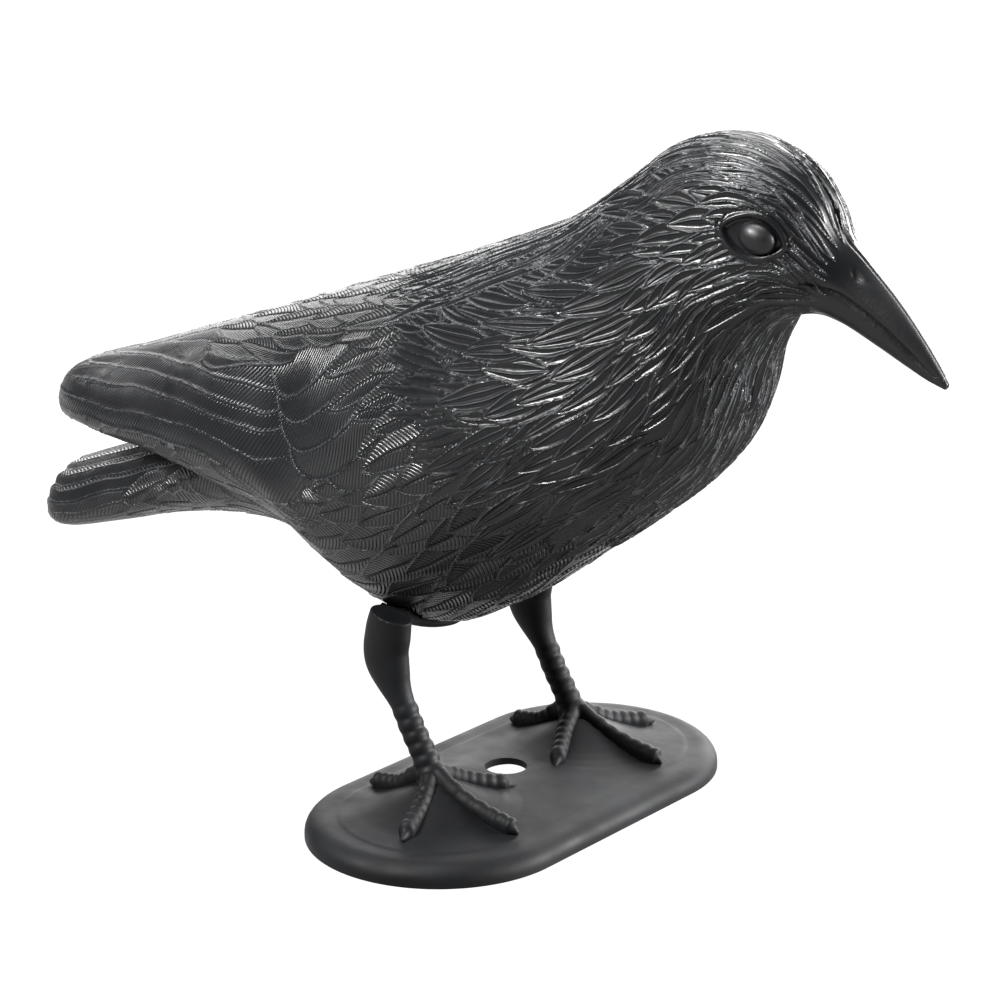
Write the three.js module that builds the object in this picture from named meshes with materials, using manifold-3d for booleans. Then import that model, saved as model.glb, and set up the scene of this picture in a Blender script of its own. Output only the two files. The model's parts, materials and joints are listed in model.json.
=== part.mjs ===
// A hollow moulded plastic crow decoy on a moulded stand.
// Millimetres, +Z up. The bill points towards -Y and the bird's left side is towards +X.
// Every size is measured from the middle of the stand's underside. The finished group is moved
// at the end, so that the origin is at the middle of the whole object's box, on the floor.

import * as THREE from "three";
import { mergeVertices } from "three/addons/utils/BufferGeometryUtils.js";
import Module from "manifold-3d";

const wasm = await Module();
wasm.setup();

// Driving sizes of the stand
const baseLength = 175.5;
const baseWidth = 93;
const baseHeight = 7.5;
const baseShoulder = 7;
const baseLip = 1.8;
const baseWall = 2.4;
const baseCrown = 2.6;
const crownFrom = 24;
const crownFull = 38;
const crownShare = 0.35;
const baseHole = 15;
const holeAt = 5;
const legSpread = 39;
const thighTop = 73;
const thighWider = [1.6, 4.8];
const ankleWider = [1.2, 1.4];
const shankRadius = 4.2;
const scutes = 6;
const scuteDepth = 0.5;
const toeRadius = 2.8;
const toeTallness = 1.3;
const toeScutes = 6;
const clawFrom = 0.84;
const saddleLow = 57.6;
const saddleRise = 12;
const saddleHalf = 35;
const saddleFrom = 27;
const saddleTo = 39;
const saddleSwing = 6;

// Driving sizes of the bird
const eyeAt = [18.2, -108, 217.2];
const eyeSize = [4.7, 6.8, 5];
const lidAt = [-107.6, 217.8];
const lidLength = 20.6;
const lidHeight = 13.8;
const lidTilt = 0.27;
const lidEdge = 1.1;
const lidLift = 0.7;
const mouthDepth = 1.8;
const mouthGap = 1.5;
const nostrilAt = [5.6, -135.6, 206.9];
const slotAt = [-11, 205.4];
const slotLength = 13;
const slotWidth = 3.4;
const slotDepth = 5;
const slotTilt = -0.45;
const restGap = 0.6;

// How finely the bird's skin is drawn
const bodyColumns = 28;
const tailColumns = 24;
const rowsOfFeathers = 16;
const featherLift = 0.8;
const featherLow = 0.1;
const featherStep = -0.2;
const scallop = 0.24;

// The main ribs of the bird, from the tip of the bill to the tips of the folded wings.
// Each rib lies in the plane through its back point and its belly point, both [y, z].
// half is its half width, wide says how far down from the back it is widest, and
// above and below say how square the section is there: 2 is an ellipse, less is a roof.
const bodyRibs = [
  { at: "bill tip", back: [-166.6, 177.4], belly: [-165.4, 174.8], half: 1.2, wide: 0.5, above: 2, below: 2 },
  { at: "bill, far third", back: [-158.2, 188.2], belly: [-154, 179], half: 3.9, wide: 0.55, above: 1.7, below: 2 },
  { at: "bill, middle", back: [-147.8, 199.6], belly: [-142.5, 184.8], half: 6.2, wide: 0.55, above: 1.7, below: 2 },
  { at: "bill, root", back: [-135, 211.2], belly: [-130.5, 190.2], half: 8.8, wide: 0.55, above: 1.8, below: 2 },
  { at: "face", back: [-128, 217.6], belly: [-121, 192.5], half: 12.5, wide: 0.5, above: 1.9, below: 2.1 },
  { at: "forehead", back: [-121.5, 229.5], belly: [-113.5, 191.5], half: 16.5, wide: 0.48, above: 1.9, below: 2.2 },
  { at: "eyes", back: [-110.5, 239.5], belly: [-106.5, 187.5], half: 20.5, wide: 0.46, above: 2, below: 2.3 },
  { at: "crown", back: [-92, 245], belly: [-102, 180], half: 24, wide: 0.48, above: 2, below: 2.4 },
  { at: "back of the head", back: [-69, 240.5], belly: [-97.5, 170], half: 28, wide: 0.5, above: 1.95, below: 2.4 },
  { at: "nape", back: [-49, 226.6], belly: [-94.5, 158], half: 33.5, wide: 0.52, above: 1.9, below: 2.3 },
  { at: "neck", back: [-29, 212.8], belly: [-88, 143.5], half: 40, wide: 0.52, above: 1.85, below: 2.2 },
  { at: "shoulders", back: [-6, 203], belly: [-76, 129], half: 47.5, wide: 0.52, above: 1.8, below: 2.1 },
  { at: "breast", back: [19, 193.2], belly: [-57, 113], half: 53, wide: 0.53, above: 1.75, below: 2 },
  { at: "front of the belly", back: [45, 184], belly: [-33, 95], half: 55.5, wide: 0.54, above: 1.7, below: 2 },
  { at: "belly", back: [68, 175.5], belly: [-2, 73.5], half: 55, wide: 0.55, above: 1.65, below: 1.95 },
  { at: "thighs", back: [88, 168.3], belly: [28, 62], half: 52, wide: 0.56, above: 1.6, below: 1.8 },
  { at: "wing edge begins", back: [107, 161.3], belly: [66, 84], half: 49, wide: 0.6, above: 1.55, below: 1.75 },
  { at: "rump", back: [126, 154.8], belly: [106, 96], half: 44.5, wide: 0.66, above: 1.5, below: 2.2 },
  { at: "wing blade", back: [148, 147], belly: [143, 103], half: 38, wide: 0.74, above: 1.5, below: 2.4 },
  { at: "wing blade, far", back: [174, 137.6], belly: [173, 104], half: 31, wide: 0.76, above: 1.5, below: 2.4 },
  { at: "wing tips", back: [199, 129.4], belly: [198, 104], half: 23, wide: 0.72, above: 1.6, below: 2.3 },
  { at: "wing tips, far", back: [214, 122.8], belly: [213, 103], half: 14, wide: 0.62, above: 1.8, below: 2.1 },
  { at: "wing end", back: [222.5, 115], belly: [222, 107], half: 4, wide: 0.5, above: 2, below: 2 },
];

// The ribs of the rump and tail, which run out below the wings. They start inside the body.
const tailRibs = [
  { at: "inside", back: [40, 120], belly: [40, 86], half: 30, wide: 0.5, above: 2, below: 2 },
  { at: "loins", back: [68, 122], belly: [62, 78.5], half: 37, wide: 0.46, above: 2, below: 1.8 },
  { at: "vent", back: [98, 122], belly: [90, 84], half: 36, wide: 0.46, above: 2, below: 1.8 },
  { at: "tail root", back: [125, 116], belly: [119, 84], half: 33, wide: 0.52, above: 1.9, below: 2.1 },
  { at: "tail, first third", back: [152, 108], belly: [148, 79], half: 30, wide: 0.6, above: 1.8, below: 2.6 },
  { at: "tail, second third", back: [180, 98.5], belly: [177, 71], half: 29, wide: 0.68, above: 1.7, below: 3 },
  { at: "tail, end", back: [205, 89], belly: [202, 64.5], half: 28.5, wide: 0.7, above: 1.7, below: 3 },
  { at: "tail, round end", back: [215, 85], belly: [213, 65.5], half: 22, wide: 0.68, above: 1.8, below: 2.6 },
];

// The wing's long feathers: lengthwise flutes fade in between these two ribs
const flutesFrom = 16;
const flutesFull = 18;
const fluteLift = 0.7;

// Smooth value of one number of the ribs, at a place counted in ribs
function between(ribs, place, pick) {
  const last = ribs.length - 1;
  const whole = Math.min(Math.max(Math.floor(place), 0), last - 1);
  const f = place - whole;
  const [a, b, c, d] = [-1, 0, 1, 2].map((step) => pick(ribs[Math.min(Math.max(whole + step, 0), last)]));
  const curve = (2 * a - 5 * b + 4 * c - d) * f * f + (3 * b - a - 3 * c + d) * f * f * f;
  return b + 0.5 * ((c - a) * f + curve);
}

// Point of a skin: place counts ribs, turn goes once round from the back over the left side
function skinPoint(ribs, place, turn) {
  const value = (pick) => between(ribs, place, pick);
  const back = [value((r) => r.back[0]), value((r) => r.back[1])];
  const belly = [value((r) => r.belly[0]), value((r) => r.belly[1])];
  const wide = value((r) => r.wide);
  const c = Math.cos(turn * 2 * Math.PI);
  const s = Math.sin(turn * 2 * Math.PI);
  const power = 2 / (c > 0 ? value((r) => r.above) : value((r) => r.below));
  const reach = Math.abs(c) ** power;
  const down = c > 0 ? wide * (1 - reach) : wide + (1 - wide) * reach;
  const across = value((r) => r.half) * Math.sign(s) * Math.abs(s) ** power;
  return new THREE.Vector3(
    across,
    back[0] + (belly[0] - back[0]) * down,
    back[1] + (belly[1] - back[1]) * down,
  );
}

// The same point, lifted off the skin along its normal
function liftedPoint(ribs, place, turn, lift) {
  const step = 0.01;
  const point = skinPoint(ribs, place, turn);
  if (lift === 0) return point;
  const lengthwise = skinPoint(ribs, place + step, turn).sub(skinPoint(ribs, place - step, turn));
  const round = skinPoint(ribs, place, turn + step).sub(skinPoint(ribs, place, turn - step));
  return point.add(lengthwise.cross(round).normalize().multiplyScalar(-lift));
}

// A closed body from rings of points, with a point in the middle of each end
function closedSkin(rings) {
  const size = rings[0].length;
  const middle = (ring) => ring.reduce((sum, p) => sum.add(p), new THREE.Vector3()).divideScalar(size);
  const points = [...rings.flat(), middle(rings[0]), middle(rings.at(-1))];
  const faces = [];
  for (let i = 0; i < rings.length - 1; i += 1) {
    for (let j = 0; j < size; j += 1) {
      const next = (j + 1) % size;
      const [a, b, c, d] = [i * size + j, i * size + next, (i + 1) * size + next, (i + 1) * size + j];
      faces.push(a, b, c, a, c, d);
    }
  }
  const end = (rings.length - 1) * size;
  for (let j = 0; j < size; j += 1) {
    const next = (j + 1) % size;
    faces.push(points.length - 2, next, j);
    faces.push(points.length - 1, end + j, end + next);
  }
  return bodyOf(points.map((p) => [p.x, p.y, p.z]).flat(), faces);
}

// A manifold solid from loose numbers
function bodyOf(numbers, faces) {
  const geometry = new THREE.BufferGeometry();
  geometry.setAttribute("position", new THREE.Float32BufferAttribute(numbers, 3));
  geometry.setIndex(faces);
  return solidOf(geometry);
}

// A manifold solid from a geometry, turned right side out
function solidOf(geometry) {
  geometry.deleteAttribute("normal");
  geometry.deleteAttribute("uv");
  const merged = mergeVertices(geometry, 1e-4);
  const vertProperties = new Float32Array(merged.attributes.position.array);
  const triVerts = new Uint32Array(merged.index.array);
  const solid = new wasm.Manifold(new wasm.Mesh({ numProp: 3, vertProperties, triVerts }));
  if (solid.volume() > 0) return solid;
  for (let i = 0; i < triVerts.length; i += 3) {
    [triVerts[i], triVerts[i + 1]] = [triVerts[i + 1], triVerts[i]];
  }
  return new wasm.Manifold(new wasm.Mesh({ numProp: 3, vertProperties, triVerts }));
}

// Moves a three.js geometry into place and makes it a solid
function placed(geometry, position, rotation = [0, 0, 0], scale = [1, 1, 1]) {
  const matrix = new THREE.Matrix4().compose(
    new THREE.Vector3(...position),
    new THREE.Quaternion().setFromEuler(new THREE.Euler(...rotation)),
    new THREE.Vector3(...scale),
  );
  return solidOf(geometry.applyMatrix4(matrix));
}

// The same shape on the other side of the bird
function mirrored(solid) {
  return solid.mirror([1, 0, 0]);
}

function bothSides(solid) {
  return solid.add(mirrored(solid));
}

// One line round the bird: every column has its own place along the ribs and its own lift
function lineRound(ribs, placeOf, liftOf) {
  const line = [];
  const columns = ribs === tailRibs ? tailColumns : bodyColumns;
  for (let column = 0; column < columns; column += 1) {
    line.push(liftedPoint(ribs, placeOf(column), column / columns, liftOf(column)));
  }
  return line;
}

// A plain skin of the ribs, lifted evenly
function plainSkin(ribs, stepsPerRib, lift = 0) {
  const rings = [];
  const steps = (ribs.length - 1) * stepsPerRib;
  for (let i = 0; i <= steps; i += 1) {
    rings.push(lineRound(ribs, () => i / stepsPerRib, () => lift));
  }
  return closedSkin(rings);
}

// Raised feathers on the wings and tail: every other column stands proud, fading in
function flute(place, from, full, column, columns) {
  const fade = THREE.MathUtils.smoothstep(place, from, full);
  const nearSeam = column === 0 || column === columns / 2;
  return nearSeam ? 0 : fade * (column % 2 === 0 ? fluteLift : -fluteLift * 0.4);
}

// The bird's main skin: a smooth bill and face, shingled rows of feathers, then long flutes
function birdSkin() {
  const rings = [];
  const firstRow = 7;
  const lastRow = flutesFrom;
  for (let place = 0; place < firstRow - 0.5; place += 0.5) {
    rings.push(lineRound(bodyRibs, () => place, () => 0));
  }
  const rowDepth = (lastRow - firstRow) / rowsOfFeathers;
  for (let row = 0; row < rowsOfFeathers; row += 1) {
    const rowPlace = firstRow + row * rowDepth;
    const isTip = (column) => (row + column) % 2 === 0;
    const edge = (column) => rowPlace + (isTip(column) ? scallop : -scallop) * rowDepth;
    rings.push(lineRound(bodyRibs, edge, (column) => (isTip(column) ? featherLift : featherLow)));
    rings.push(lineRound(bodyRibs, (column) => edge(column) + 0.1 * rowDepth, () => featherStep));
  }
  for (let place = lastRow + 0.25; place <= bodyRibs.length - 1; place += 0.5) {
    const lift = (column) => flute(place, flutesFrom, flutesFull, column, bodyColumns);
    rings.push(lineRound(bodyRibs, () => place, lift));
  }
  rings.push(lineRound(bodyRibs, () => bodyRibs.length - 1, () => 0));
  return closedSkin(rings);
}

function tailSkin() {
  const rings = [];
  const last = tailRibs.length - 1;
  for (let place = 0; place <= last; place += 0.5) {
    const lift = (column) => (place < last ? flute(place, 3, 4, column, tailColumns) : 0);
    rings.push(lineRound(tailRibs, () => place, lift));
  }
  return closedSkin(rings);
}

// A tube of given half sizes along a curve, for the mouth line, the lids, the legs and the toes
function tube(points, sides, halfSizes, steps) {
  const curve = new THREE.CatmullRomCurve3(points.map((p) => new THREE.Vector3(...p)));
  const rings = [];
  for (let i = 0; i <= steps; i += 1) {
    const t = i / steps;
    const centre = curve.getPoint(t);
    const forward = curve.getTangent(t);
    const side = new THREE.Vector3(0, 0, 1).cross(forward);
    if (side.length() < 0.3) side.set(1, 0, 0);
    side.normalize();
    const up = forward.clone().cross(side).normalize();
    const [halfSide, halfUp] = halfSizes(t);
    const ring = [];
    for (let j = 0; j < sides; j += 1) {
      const angle = (j / sides) * 2 * Math.PI;
      ring.push(centre.clone()
        .addScaledVector(side, Math.cos(angle) * halfSide)
        .addScaledVector(up, Math.sin(angle) * halfUp));
    }
    rings.push(ring);
  }
  return closedSkin(rings);
}

// An outline in the bird's side view, [y, z], pressed right through from side to side
function sideways(outline, halfDepth = 60) {
  const shape = new THREE.Shape(outline.map(([y, z]) => new THREE.Vector2(y, z)));
  const geometry = new THREE.ExtrudeGeometry(shape, { depth: 2 * halfDepth, bevelEnabled: false });
  const turned = new THREE.Matrix4().makeBasis(
    new THREE.Vector3(0, 1, 0),
    new THREE.Vector3(0, 0, 1),
    new THREE.Vector3(1, 0, 0),
  );
  turned.setPosition(-halfDepth, 0, 0);
  return solidOf(geometry.applyMatrix4(turned));
}

// The lens outline of the eyelids: two arcs that meet in the corners of the eye
function lens(length, height) {
  const outline = [];
  const steps = 20;
  for (let i = 0; i < steps; i += 1) {
    const angle = (i / steps) * 2 * Math.PI;
    const along = 0.5 * length * Math.cos(angle);
    const upward = 0.5 * height * Math.sign(Math.sin(angle)) * Math.abs(Math.sin(angle)) ** 1.5;
    outline.push([
      lidAt[0] + along * Math.cos(lidTilt) - upward * Math.sin(lidTilt),
      lidAt[1] + along * Math.sin(lidTilt) + upward * Math.cos(lidTilt),
    ]);
  }
  return sideways(outline);
}

// The line of the mouth, from its corner to the tip of the bill
const mouthLine = [
  [-118.5, 203.8],
  [-125, 203.6],
  [-132, 201.4],
  [-140, 196.6],
  [-147.5, 191.4],
  [-155, 185.2],
  [-162, 179.3],
];

function mouthGroove() {
  const curve = new THREE.SplineCurve(mouthLine.map(([y, z]) => new THREE.Vector2(y, z)));
  const upper = [];
  const lower = [];
  const steps = 12;
  for (let i = 0; i <= steps; i += 1) {
    const point = curve.getPoint(i / steps);
    const half = 0.5 * mouthGap * Math.sin((0.15 + 0.8 * (1 - i / steps)) * Math.PI / 2 + 0.1);
    upper.push([point.x, point.y + half]);
    lower.unshift([point.x, point.y - half]);
  }
  return sideways([...upper, ...lower]);
}

// The ribs of the head alone, for the cuts that follow its surface
const headRibs = bodyRibs.slice(0, 10);

// Eyes, lids, mouth line and nostrils
function withFace(bird) {
  const raised = plainSkin(headRibs, 2, lidLift);
  const sunk = plainSkin(headRibs, 2, -mouthDepth);
  const socket = lens(lidLength - 2 * lidEdge, lidHeight - 2 * lidEdge);
  const lids = lens(lidLength, lidHeight).intersect(raised);
  const ball = placed(new THREE.SphereGeometry(1, 14, 8), eyeAt, [lidTilt, 0, 0], eyeSize);
  const nostril = placed(new THREE.SphereGeometry(1, 8, 6), nostrilAt, [0.7, 0, 0], [1.6, 2.4, 1]);
  return bird
    .add(lids)
    .subtract(socket.subtract(sunk))
    .add(bothSides(ball))
    .subtract(mouthGroove().subtract(sunk))
    .subtract(bothSides(nostril));
}

// The slot in the back, by which the hollow bird can be hung
function hangingSlot() {
  const ends = (slotLength - slotWidth) / 2;
  const middle = solidOf(new THREE.BoxGeometry(slotWidth, 2 * ends, 2 * slotDepth));
  const round = (y) => placed(
    new THREE.CylinderGeometry(slotWidth / 2, slotWidth / 2, 2 * slotDepth, 12),
    [0, y, 0],
    [Math.PI / 2, 0, 0],
  );
  const slot = middle.add(round(ends)).add(round(-ends));
  return slot.rotate([THREE.MathUtils.radToDeg(slotTilt), 0, 0]).translate([0, ...slotAt]);
}

function crow() {
  return withFace(birdSkin().add(tailSkin())).subtract(hangingSlot());
}

// Outline of the stand: two half circles joined by straight sides, drawn inset from the edge
function standOutline(inset, height) {
  const radius = baseWidth / 2 - inset;
  const straight = (baseLength - baseWidth) / 2;
  const arcSteps = 10;
  const ring = [];
  for (const side of [1, -1]) {
    for (let i = 0; i <= arcSteps; i += 1) {
      const angle = (-0.5 + i / arcSteps) * Math.PI;
      const x = side * (straight + radius * Math.cos(angle));
      ring.push(new THREE.Vector3(x, side * radius * Math.sin(angle), height));
    }
  }
  return ring;
}

// The outside of the plate, with a rounded shoulder and a low crown
function plateOutside() {
  const rings = [standOutline(0, 0)];
  const shoulderSteps = 4;
  for (let i = 0; i <= shoulderSteps; i += 1) {
    const angle = (i / shoulderSteps) * Math.PI / 2;
    const rise = baseLip + (baseHeight - baseLip) * Math.sin(angle);
    rings.push(standOutline(baseShoulder * (1 - Math.cos(angle)), rise));
  }
  rings.push(standOutline(crownFrom, baseHeight + crownShare * baseCrown));
  rings.push(standOutline(crownFull, baseHeight + baseCrown));
  return closedSkin(rings);
}

// The hollow below the plate, which leaves a thin wall
function plateHollow() {
  return closedSkin([
    standOutline(baseWall, -1),
    standOutline(baseWall, baseLip),
    standOutline(baseShoulder + baseWall / 2, baseHeight - baseWall),
    standOutline(crownFull, baseHeight + baseCrown - baseWall),
  ]);
}

// The swelling of the plate below a foot, as radius and height above the plate
const moundProfile = [[26, 0], [20, 2.6], [16, 4], [12, 5.6], [8, 7.6], [4, 9.4], [0, 10]];

function mound() {
  const low = baseHeight - baseWall / 2;
  const profile = [[0, low], ...moundProfile.map(([r, rise]) => [r, low + rise])];
  const points = profile.map(([r, z]) => new THREE.Vector2(r, z));
  return placed(new THREE.LatheGeometry(points, 14), [legSpread, 2, 0], [Math.PI / 2, 0, 0]);
}

// A leg from the flat top of its thigh down to the foot, with ring scutes on the shank
function leg() {
  const path = [
    [23.5, thighTop], [25, 66], [26, 58], [23, 49.5], [18.6, 41.5], [14.4, 33.5], [10, 26.5], [6.5, 20], [4.5, 14],
  ];
  const kneeStart = 0.26;
  const kneeEnd = 0.5;
  const shankEnd = 0.9;
  const steps = Math.round((2 * scutes) / (shankEnd - kneeEnd));
  const sizes = (t) => {
    const knee = 1 - THREE.MathUtils.smoothstep(t, kneeStart, kneeEnd);
    const ankle = THREE.MathUtils.smoothstep(t, shankEnd - 0.14, 0.97);
    const onShank = t > kneeEnd && t < shankEnd;
    const ring = onShank ? scuteDepth * Math.cos((Math.round(t * steps) % 2) * Math.PI) : 0;
    return [0, 1].map((way) => shankRadius + thighWider[way] * knee + ankleWider[way] * ankle + ring);
  };
  return tube(path.map(([y, z]) => [legSpread, y, z]), 8, sizes, steps);
}

// A toe from the foot to the point of its claw, with scutes across
function toe(path) {
  const steps = 2 * toeScutes + 2;
  const sizes = (t) => {
    const claw = 1 - 0.8 * THREE.MathUtils.smoothstep(t, clawFrom, 1.02);
    const ring = t > 0.15 && t < clawFrom ? scuteDepth * Math.cos((Math.round(t * steps) % 2) * Math.PI) : 0;
    const half = (toeRadius * (1.1 - 0.15 * t) + 0.6 * ring) * claw;
    return [half, half * toeTallness];
  };
  return tube(path, 6, sizes, steps);
}

// The toes of the left foot: one behind, one in front and one to each side
const toePaths = [
  [[39, 9, 20], [38.8, 18, 12], [38.6, 27, 9.8], [38.6, 35, 9]],
  [[39.4, 3, 19.5], [40, -8, 13.6], [40.2, -20, 10.6], [40.4, -29, 9.4], [40.4, -33.5, 8.2]],
  [[42, 4, 18.5], [51, 0, 13], [61, -4, 10.4], [70.5, -8, 9]],
  [[37, 4, 19], [29, 1.5, 14.6], [20, -3.5, 11.6], [10.8, -8.6, 9.8]],
];

// The strap that joins the tops of the legs below the belly. Its ends swing forward into the thighs.
function saddle() {
  const rings = [];
  const steps = 12;
  for (let i = 0; i <= steps; i += 1) {
    const x = saddleHalf * ((2 * i) / steps - 1);
    const share = Math.abs(x / saddleHalf);
    const low = saddleLow + saddleRise * share ** 1.6;
    const forward = saddleSwing * share ** 3;
    const corners = [[saddleFrom, low], [saddleTo, low], [saddleTo, thighTop], [saddleFrom, thighTop]];
    rings.push(corners.map(([y, z]) => new THREE.Vector3(x, y - forward, z)));
  }
  return closedSkin(rings);
}

// The whole stand, one moulding. The bird's belly leaves its own print in the saddle, with a small gap.
function stand(bird) {
  let foot = mound().add(leg());
  for (const path of toePaths) foot = foot.add(toe(path));
  const seat = bird.translate([0, 0, -restGap]);
  const hole = placed(
    new THREE.CylinderGeometry(baseHole / 2, baseHole / 2, 4 * baseHeight, 24),
    [0, holeAt, 0],
    [Math.PI / 2, 0, 0],
  );
  const whole = plateOutside().add(bothSides(foot)).add(saddle());
  return whole.subtract(plateHollow()).subtract(seat).subtract(hole);
}

const group = new THREE.Group();

function addPiece(name, solid, color, roughness) {
  const mesh = solid.getMesh();
  const geometry = new THREE.BufferGeometry();
  geometry.setAttribute("position", new THREE.BufferAttribute(mesh.vertProperties, 3));
  geometry.setIndex(new THREE.BufferAttribute(mesh.triVerts, 1));
  const material = new THREE.MeshStandardMaterial({ color, roughness, metalness: 0 });
  const piece = new THREE.Mesh(geometry, material);
  piece.name = name;
  group.add(piece);
}

const bird = crow();
addPiece("crow_body", bird, 0x18191b, 0.45);
addPiece("stand", stand(bird), 0x1c1d20, 0.6);

// The origin goes to the middle of the whole object's box, on the floor
const box = new THREE.Box3().setFromObject(group);
const middle = box.getCenter(new THREE.Vector3());
group.position.set(-middle.x, -middle.y, -box.min.z);

export default group;
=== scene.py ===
# %% [markdown]
# A hollow plastic crow decoy that stands on a moulded plastic stand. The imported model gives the
# true sizes and places, so the lesson starts by loading it. Nothing in it is moved: each piece
# below is drawn around it, and then shown in its place.

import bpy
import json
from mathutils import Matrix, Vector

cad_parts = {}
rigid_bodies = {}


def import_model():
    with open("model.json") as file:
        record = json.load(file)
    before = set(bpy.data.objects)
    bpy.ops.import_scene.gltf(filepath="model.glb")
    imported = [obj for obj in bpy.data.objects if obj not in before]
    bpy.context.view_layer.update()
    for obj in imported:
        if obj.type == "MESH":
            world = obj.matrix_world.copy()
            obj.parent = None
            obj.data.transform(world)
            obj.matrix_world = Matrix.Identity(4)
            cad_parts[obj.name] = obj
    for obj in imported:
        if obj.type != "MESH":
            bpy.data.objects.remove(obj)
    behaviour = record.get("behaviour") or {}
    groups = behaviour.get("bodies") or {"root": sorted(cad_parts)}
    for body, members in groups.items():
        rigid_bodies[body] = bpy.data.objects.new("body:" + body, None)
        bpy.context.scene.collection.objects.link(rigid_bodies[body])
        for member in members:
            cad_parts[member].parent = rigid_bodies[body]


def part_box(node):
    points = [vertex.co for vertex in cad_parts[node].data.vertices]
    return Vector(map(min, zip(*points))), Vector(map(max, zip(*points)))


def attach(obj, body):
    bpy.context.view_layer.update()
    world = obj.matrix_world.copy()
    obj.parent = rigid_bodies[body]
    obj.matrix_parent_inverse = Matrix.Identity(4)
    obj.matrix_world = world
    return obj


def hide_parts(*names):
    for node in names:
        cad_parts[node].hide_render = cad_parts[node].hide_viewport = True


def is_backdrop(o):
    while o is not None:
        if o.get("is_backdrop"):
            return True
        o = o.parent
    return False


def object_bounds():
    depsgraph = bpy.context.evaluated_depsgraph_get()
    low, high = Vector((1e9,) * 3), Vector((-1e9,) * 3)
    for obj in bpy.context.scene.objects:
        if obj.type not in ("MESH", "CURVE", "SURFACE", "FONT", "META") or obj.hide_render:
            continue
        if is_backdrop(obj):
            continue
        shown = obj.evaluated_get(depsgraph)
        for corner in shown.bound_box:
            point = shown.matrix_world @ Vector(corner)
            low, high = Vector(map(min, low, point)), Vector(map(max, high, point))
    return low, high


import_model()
cad_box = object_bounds()
print("box of the packed model, m:", cad_box)

# %% [markdown]
# The sculptor's numbers are in millimetres, measured from the middle of the underside of the
# stand: +Z is up, the bill points towards -Y and the bird's left side is towards +X. Blender
# works in metres, from the middle of the whole object. Two small helpers go from one to the other.
# Points of a mesh that lie closer than one_point are merged into one.

# %% Units and small helpers
import json
import math

import bpy
import numpy as np
from mathutils import Matrix, Vector
from mathutils.bvhtree import BVHTree

mm = 0.001
one_point = 0.001 * mm
full_turn = 2 * math.pi
stand_low, stand_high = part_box("stand")
stand_middle = np.array([0, (stand_low.y + stand_high.y) / 2, 0]) / mm
print("middle of the stand, mm:", stand_middle.round(2))


def read_vectors(items, name):
    """One row of three numbers for each point, corner or face of a mesh."""
    flat = np.empty(len(items) * 3, np.float32)
    items.foreach_get(name, flat)
    return flat.reshape(-1, 3)


def read_points(piece):
    """The points of a piece, in the sculptor's millimetres."""
    return read_vectors(piece.data.vertices, "co").astype(float) / mm - stand_middle


def write_points(piece, points):
    """Moves the points of a piece, given in the sculptor's millimetres."""
    metres = (points + stand_middle) * mm
    piece.data.vertices.foreach_set("co", metres.astype(np.float32).ravel())
    piece.data.update()


def select_only(*pieces):
    """Selects these pieces and nothing else. The last one becomes the active one."""
    bpy.ops.object.select_all(action="DESELECT")
    for piece in pieces:
        piece.select_set(True)
        bpy.context.view_layer.objects.active = piece


def smooth_step(value, start, end):
    """Goes softly from 0 at start to 1 at end."""
    t = np.clip((value - start) / (end - start), 0, 1)
    return t * t * (3 - 2 * t)


def ridge(distance, width):
    """A soft ridge: 1 on the line and nearly 0 two widths away."""
    return np.exp(-((distance / width) ** 2))


# %% [markdown]
# The camera comes first, because every likeness is judged through it. The long lens stands
# nearly a metre away, in front of the bird's right wing and a little above it, as in the photo.

# %% Camera
camera_at = Vector((-0.73704, -0.62499, 0.39869))
camera_turn = math.radians(-50.63)
camera_height = math.radians(16.99)
lens_mm = 104.7

backwards = Vector((
    math.sin(camera_turn) * math.cos(camera_height),
    -math.cos(camera_turn) * math.cos(camera_height),
    math.sin(camera_height),
))
rightwards = Vector((math.cos(camera_turn), math.sin(camera_turn), 0))
upwards = backwards.cross(rightwards)
camera_data = bpy.data.cameras.new("camera")
camera_data.lens = lens_mm
camera_data.sensor_width = 36
camera_data.clip_start = 0.05
camera_data.clip_end = 20
camera = bpy.data.objects.new("camera", camera_data)
camera.matrix_world = Matrix((rightwards, upwards, backwards)).transposed().to_4x4()
camera.location = camera_at
bpy.context.scene.collection.objects.link(camera)
bpy.context.scene.camera = camera
print("camera stands", round(camera_at.length, 3), "m from the origin")

# %% [markdown]
# The bird is a hollow moulding, so its form is one skin. A sculptor would set up ribs along a
# spine and stretch the skin over them. Each rib here lies in the plane through a point on the
# back and a point on the belly. It says how wide the bird is there, how far down it is widest,
# and how square the section is above and below that: 2 is an ellipse, and less is a roof.

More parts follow.
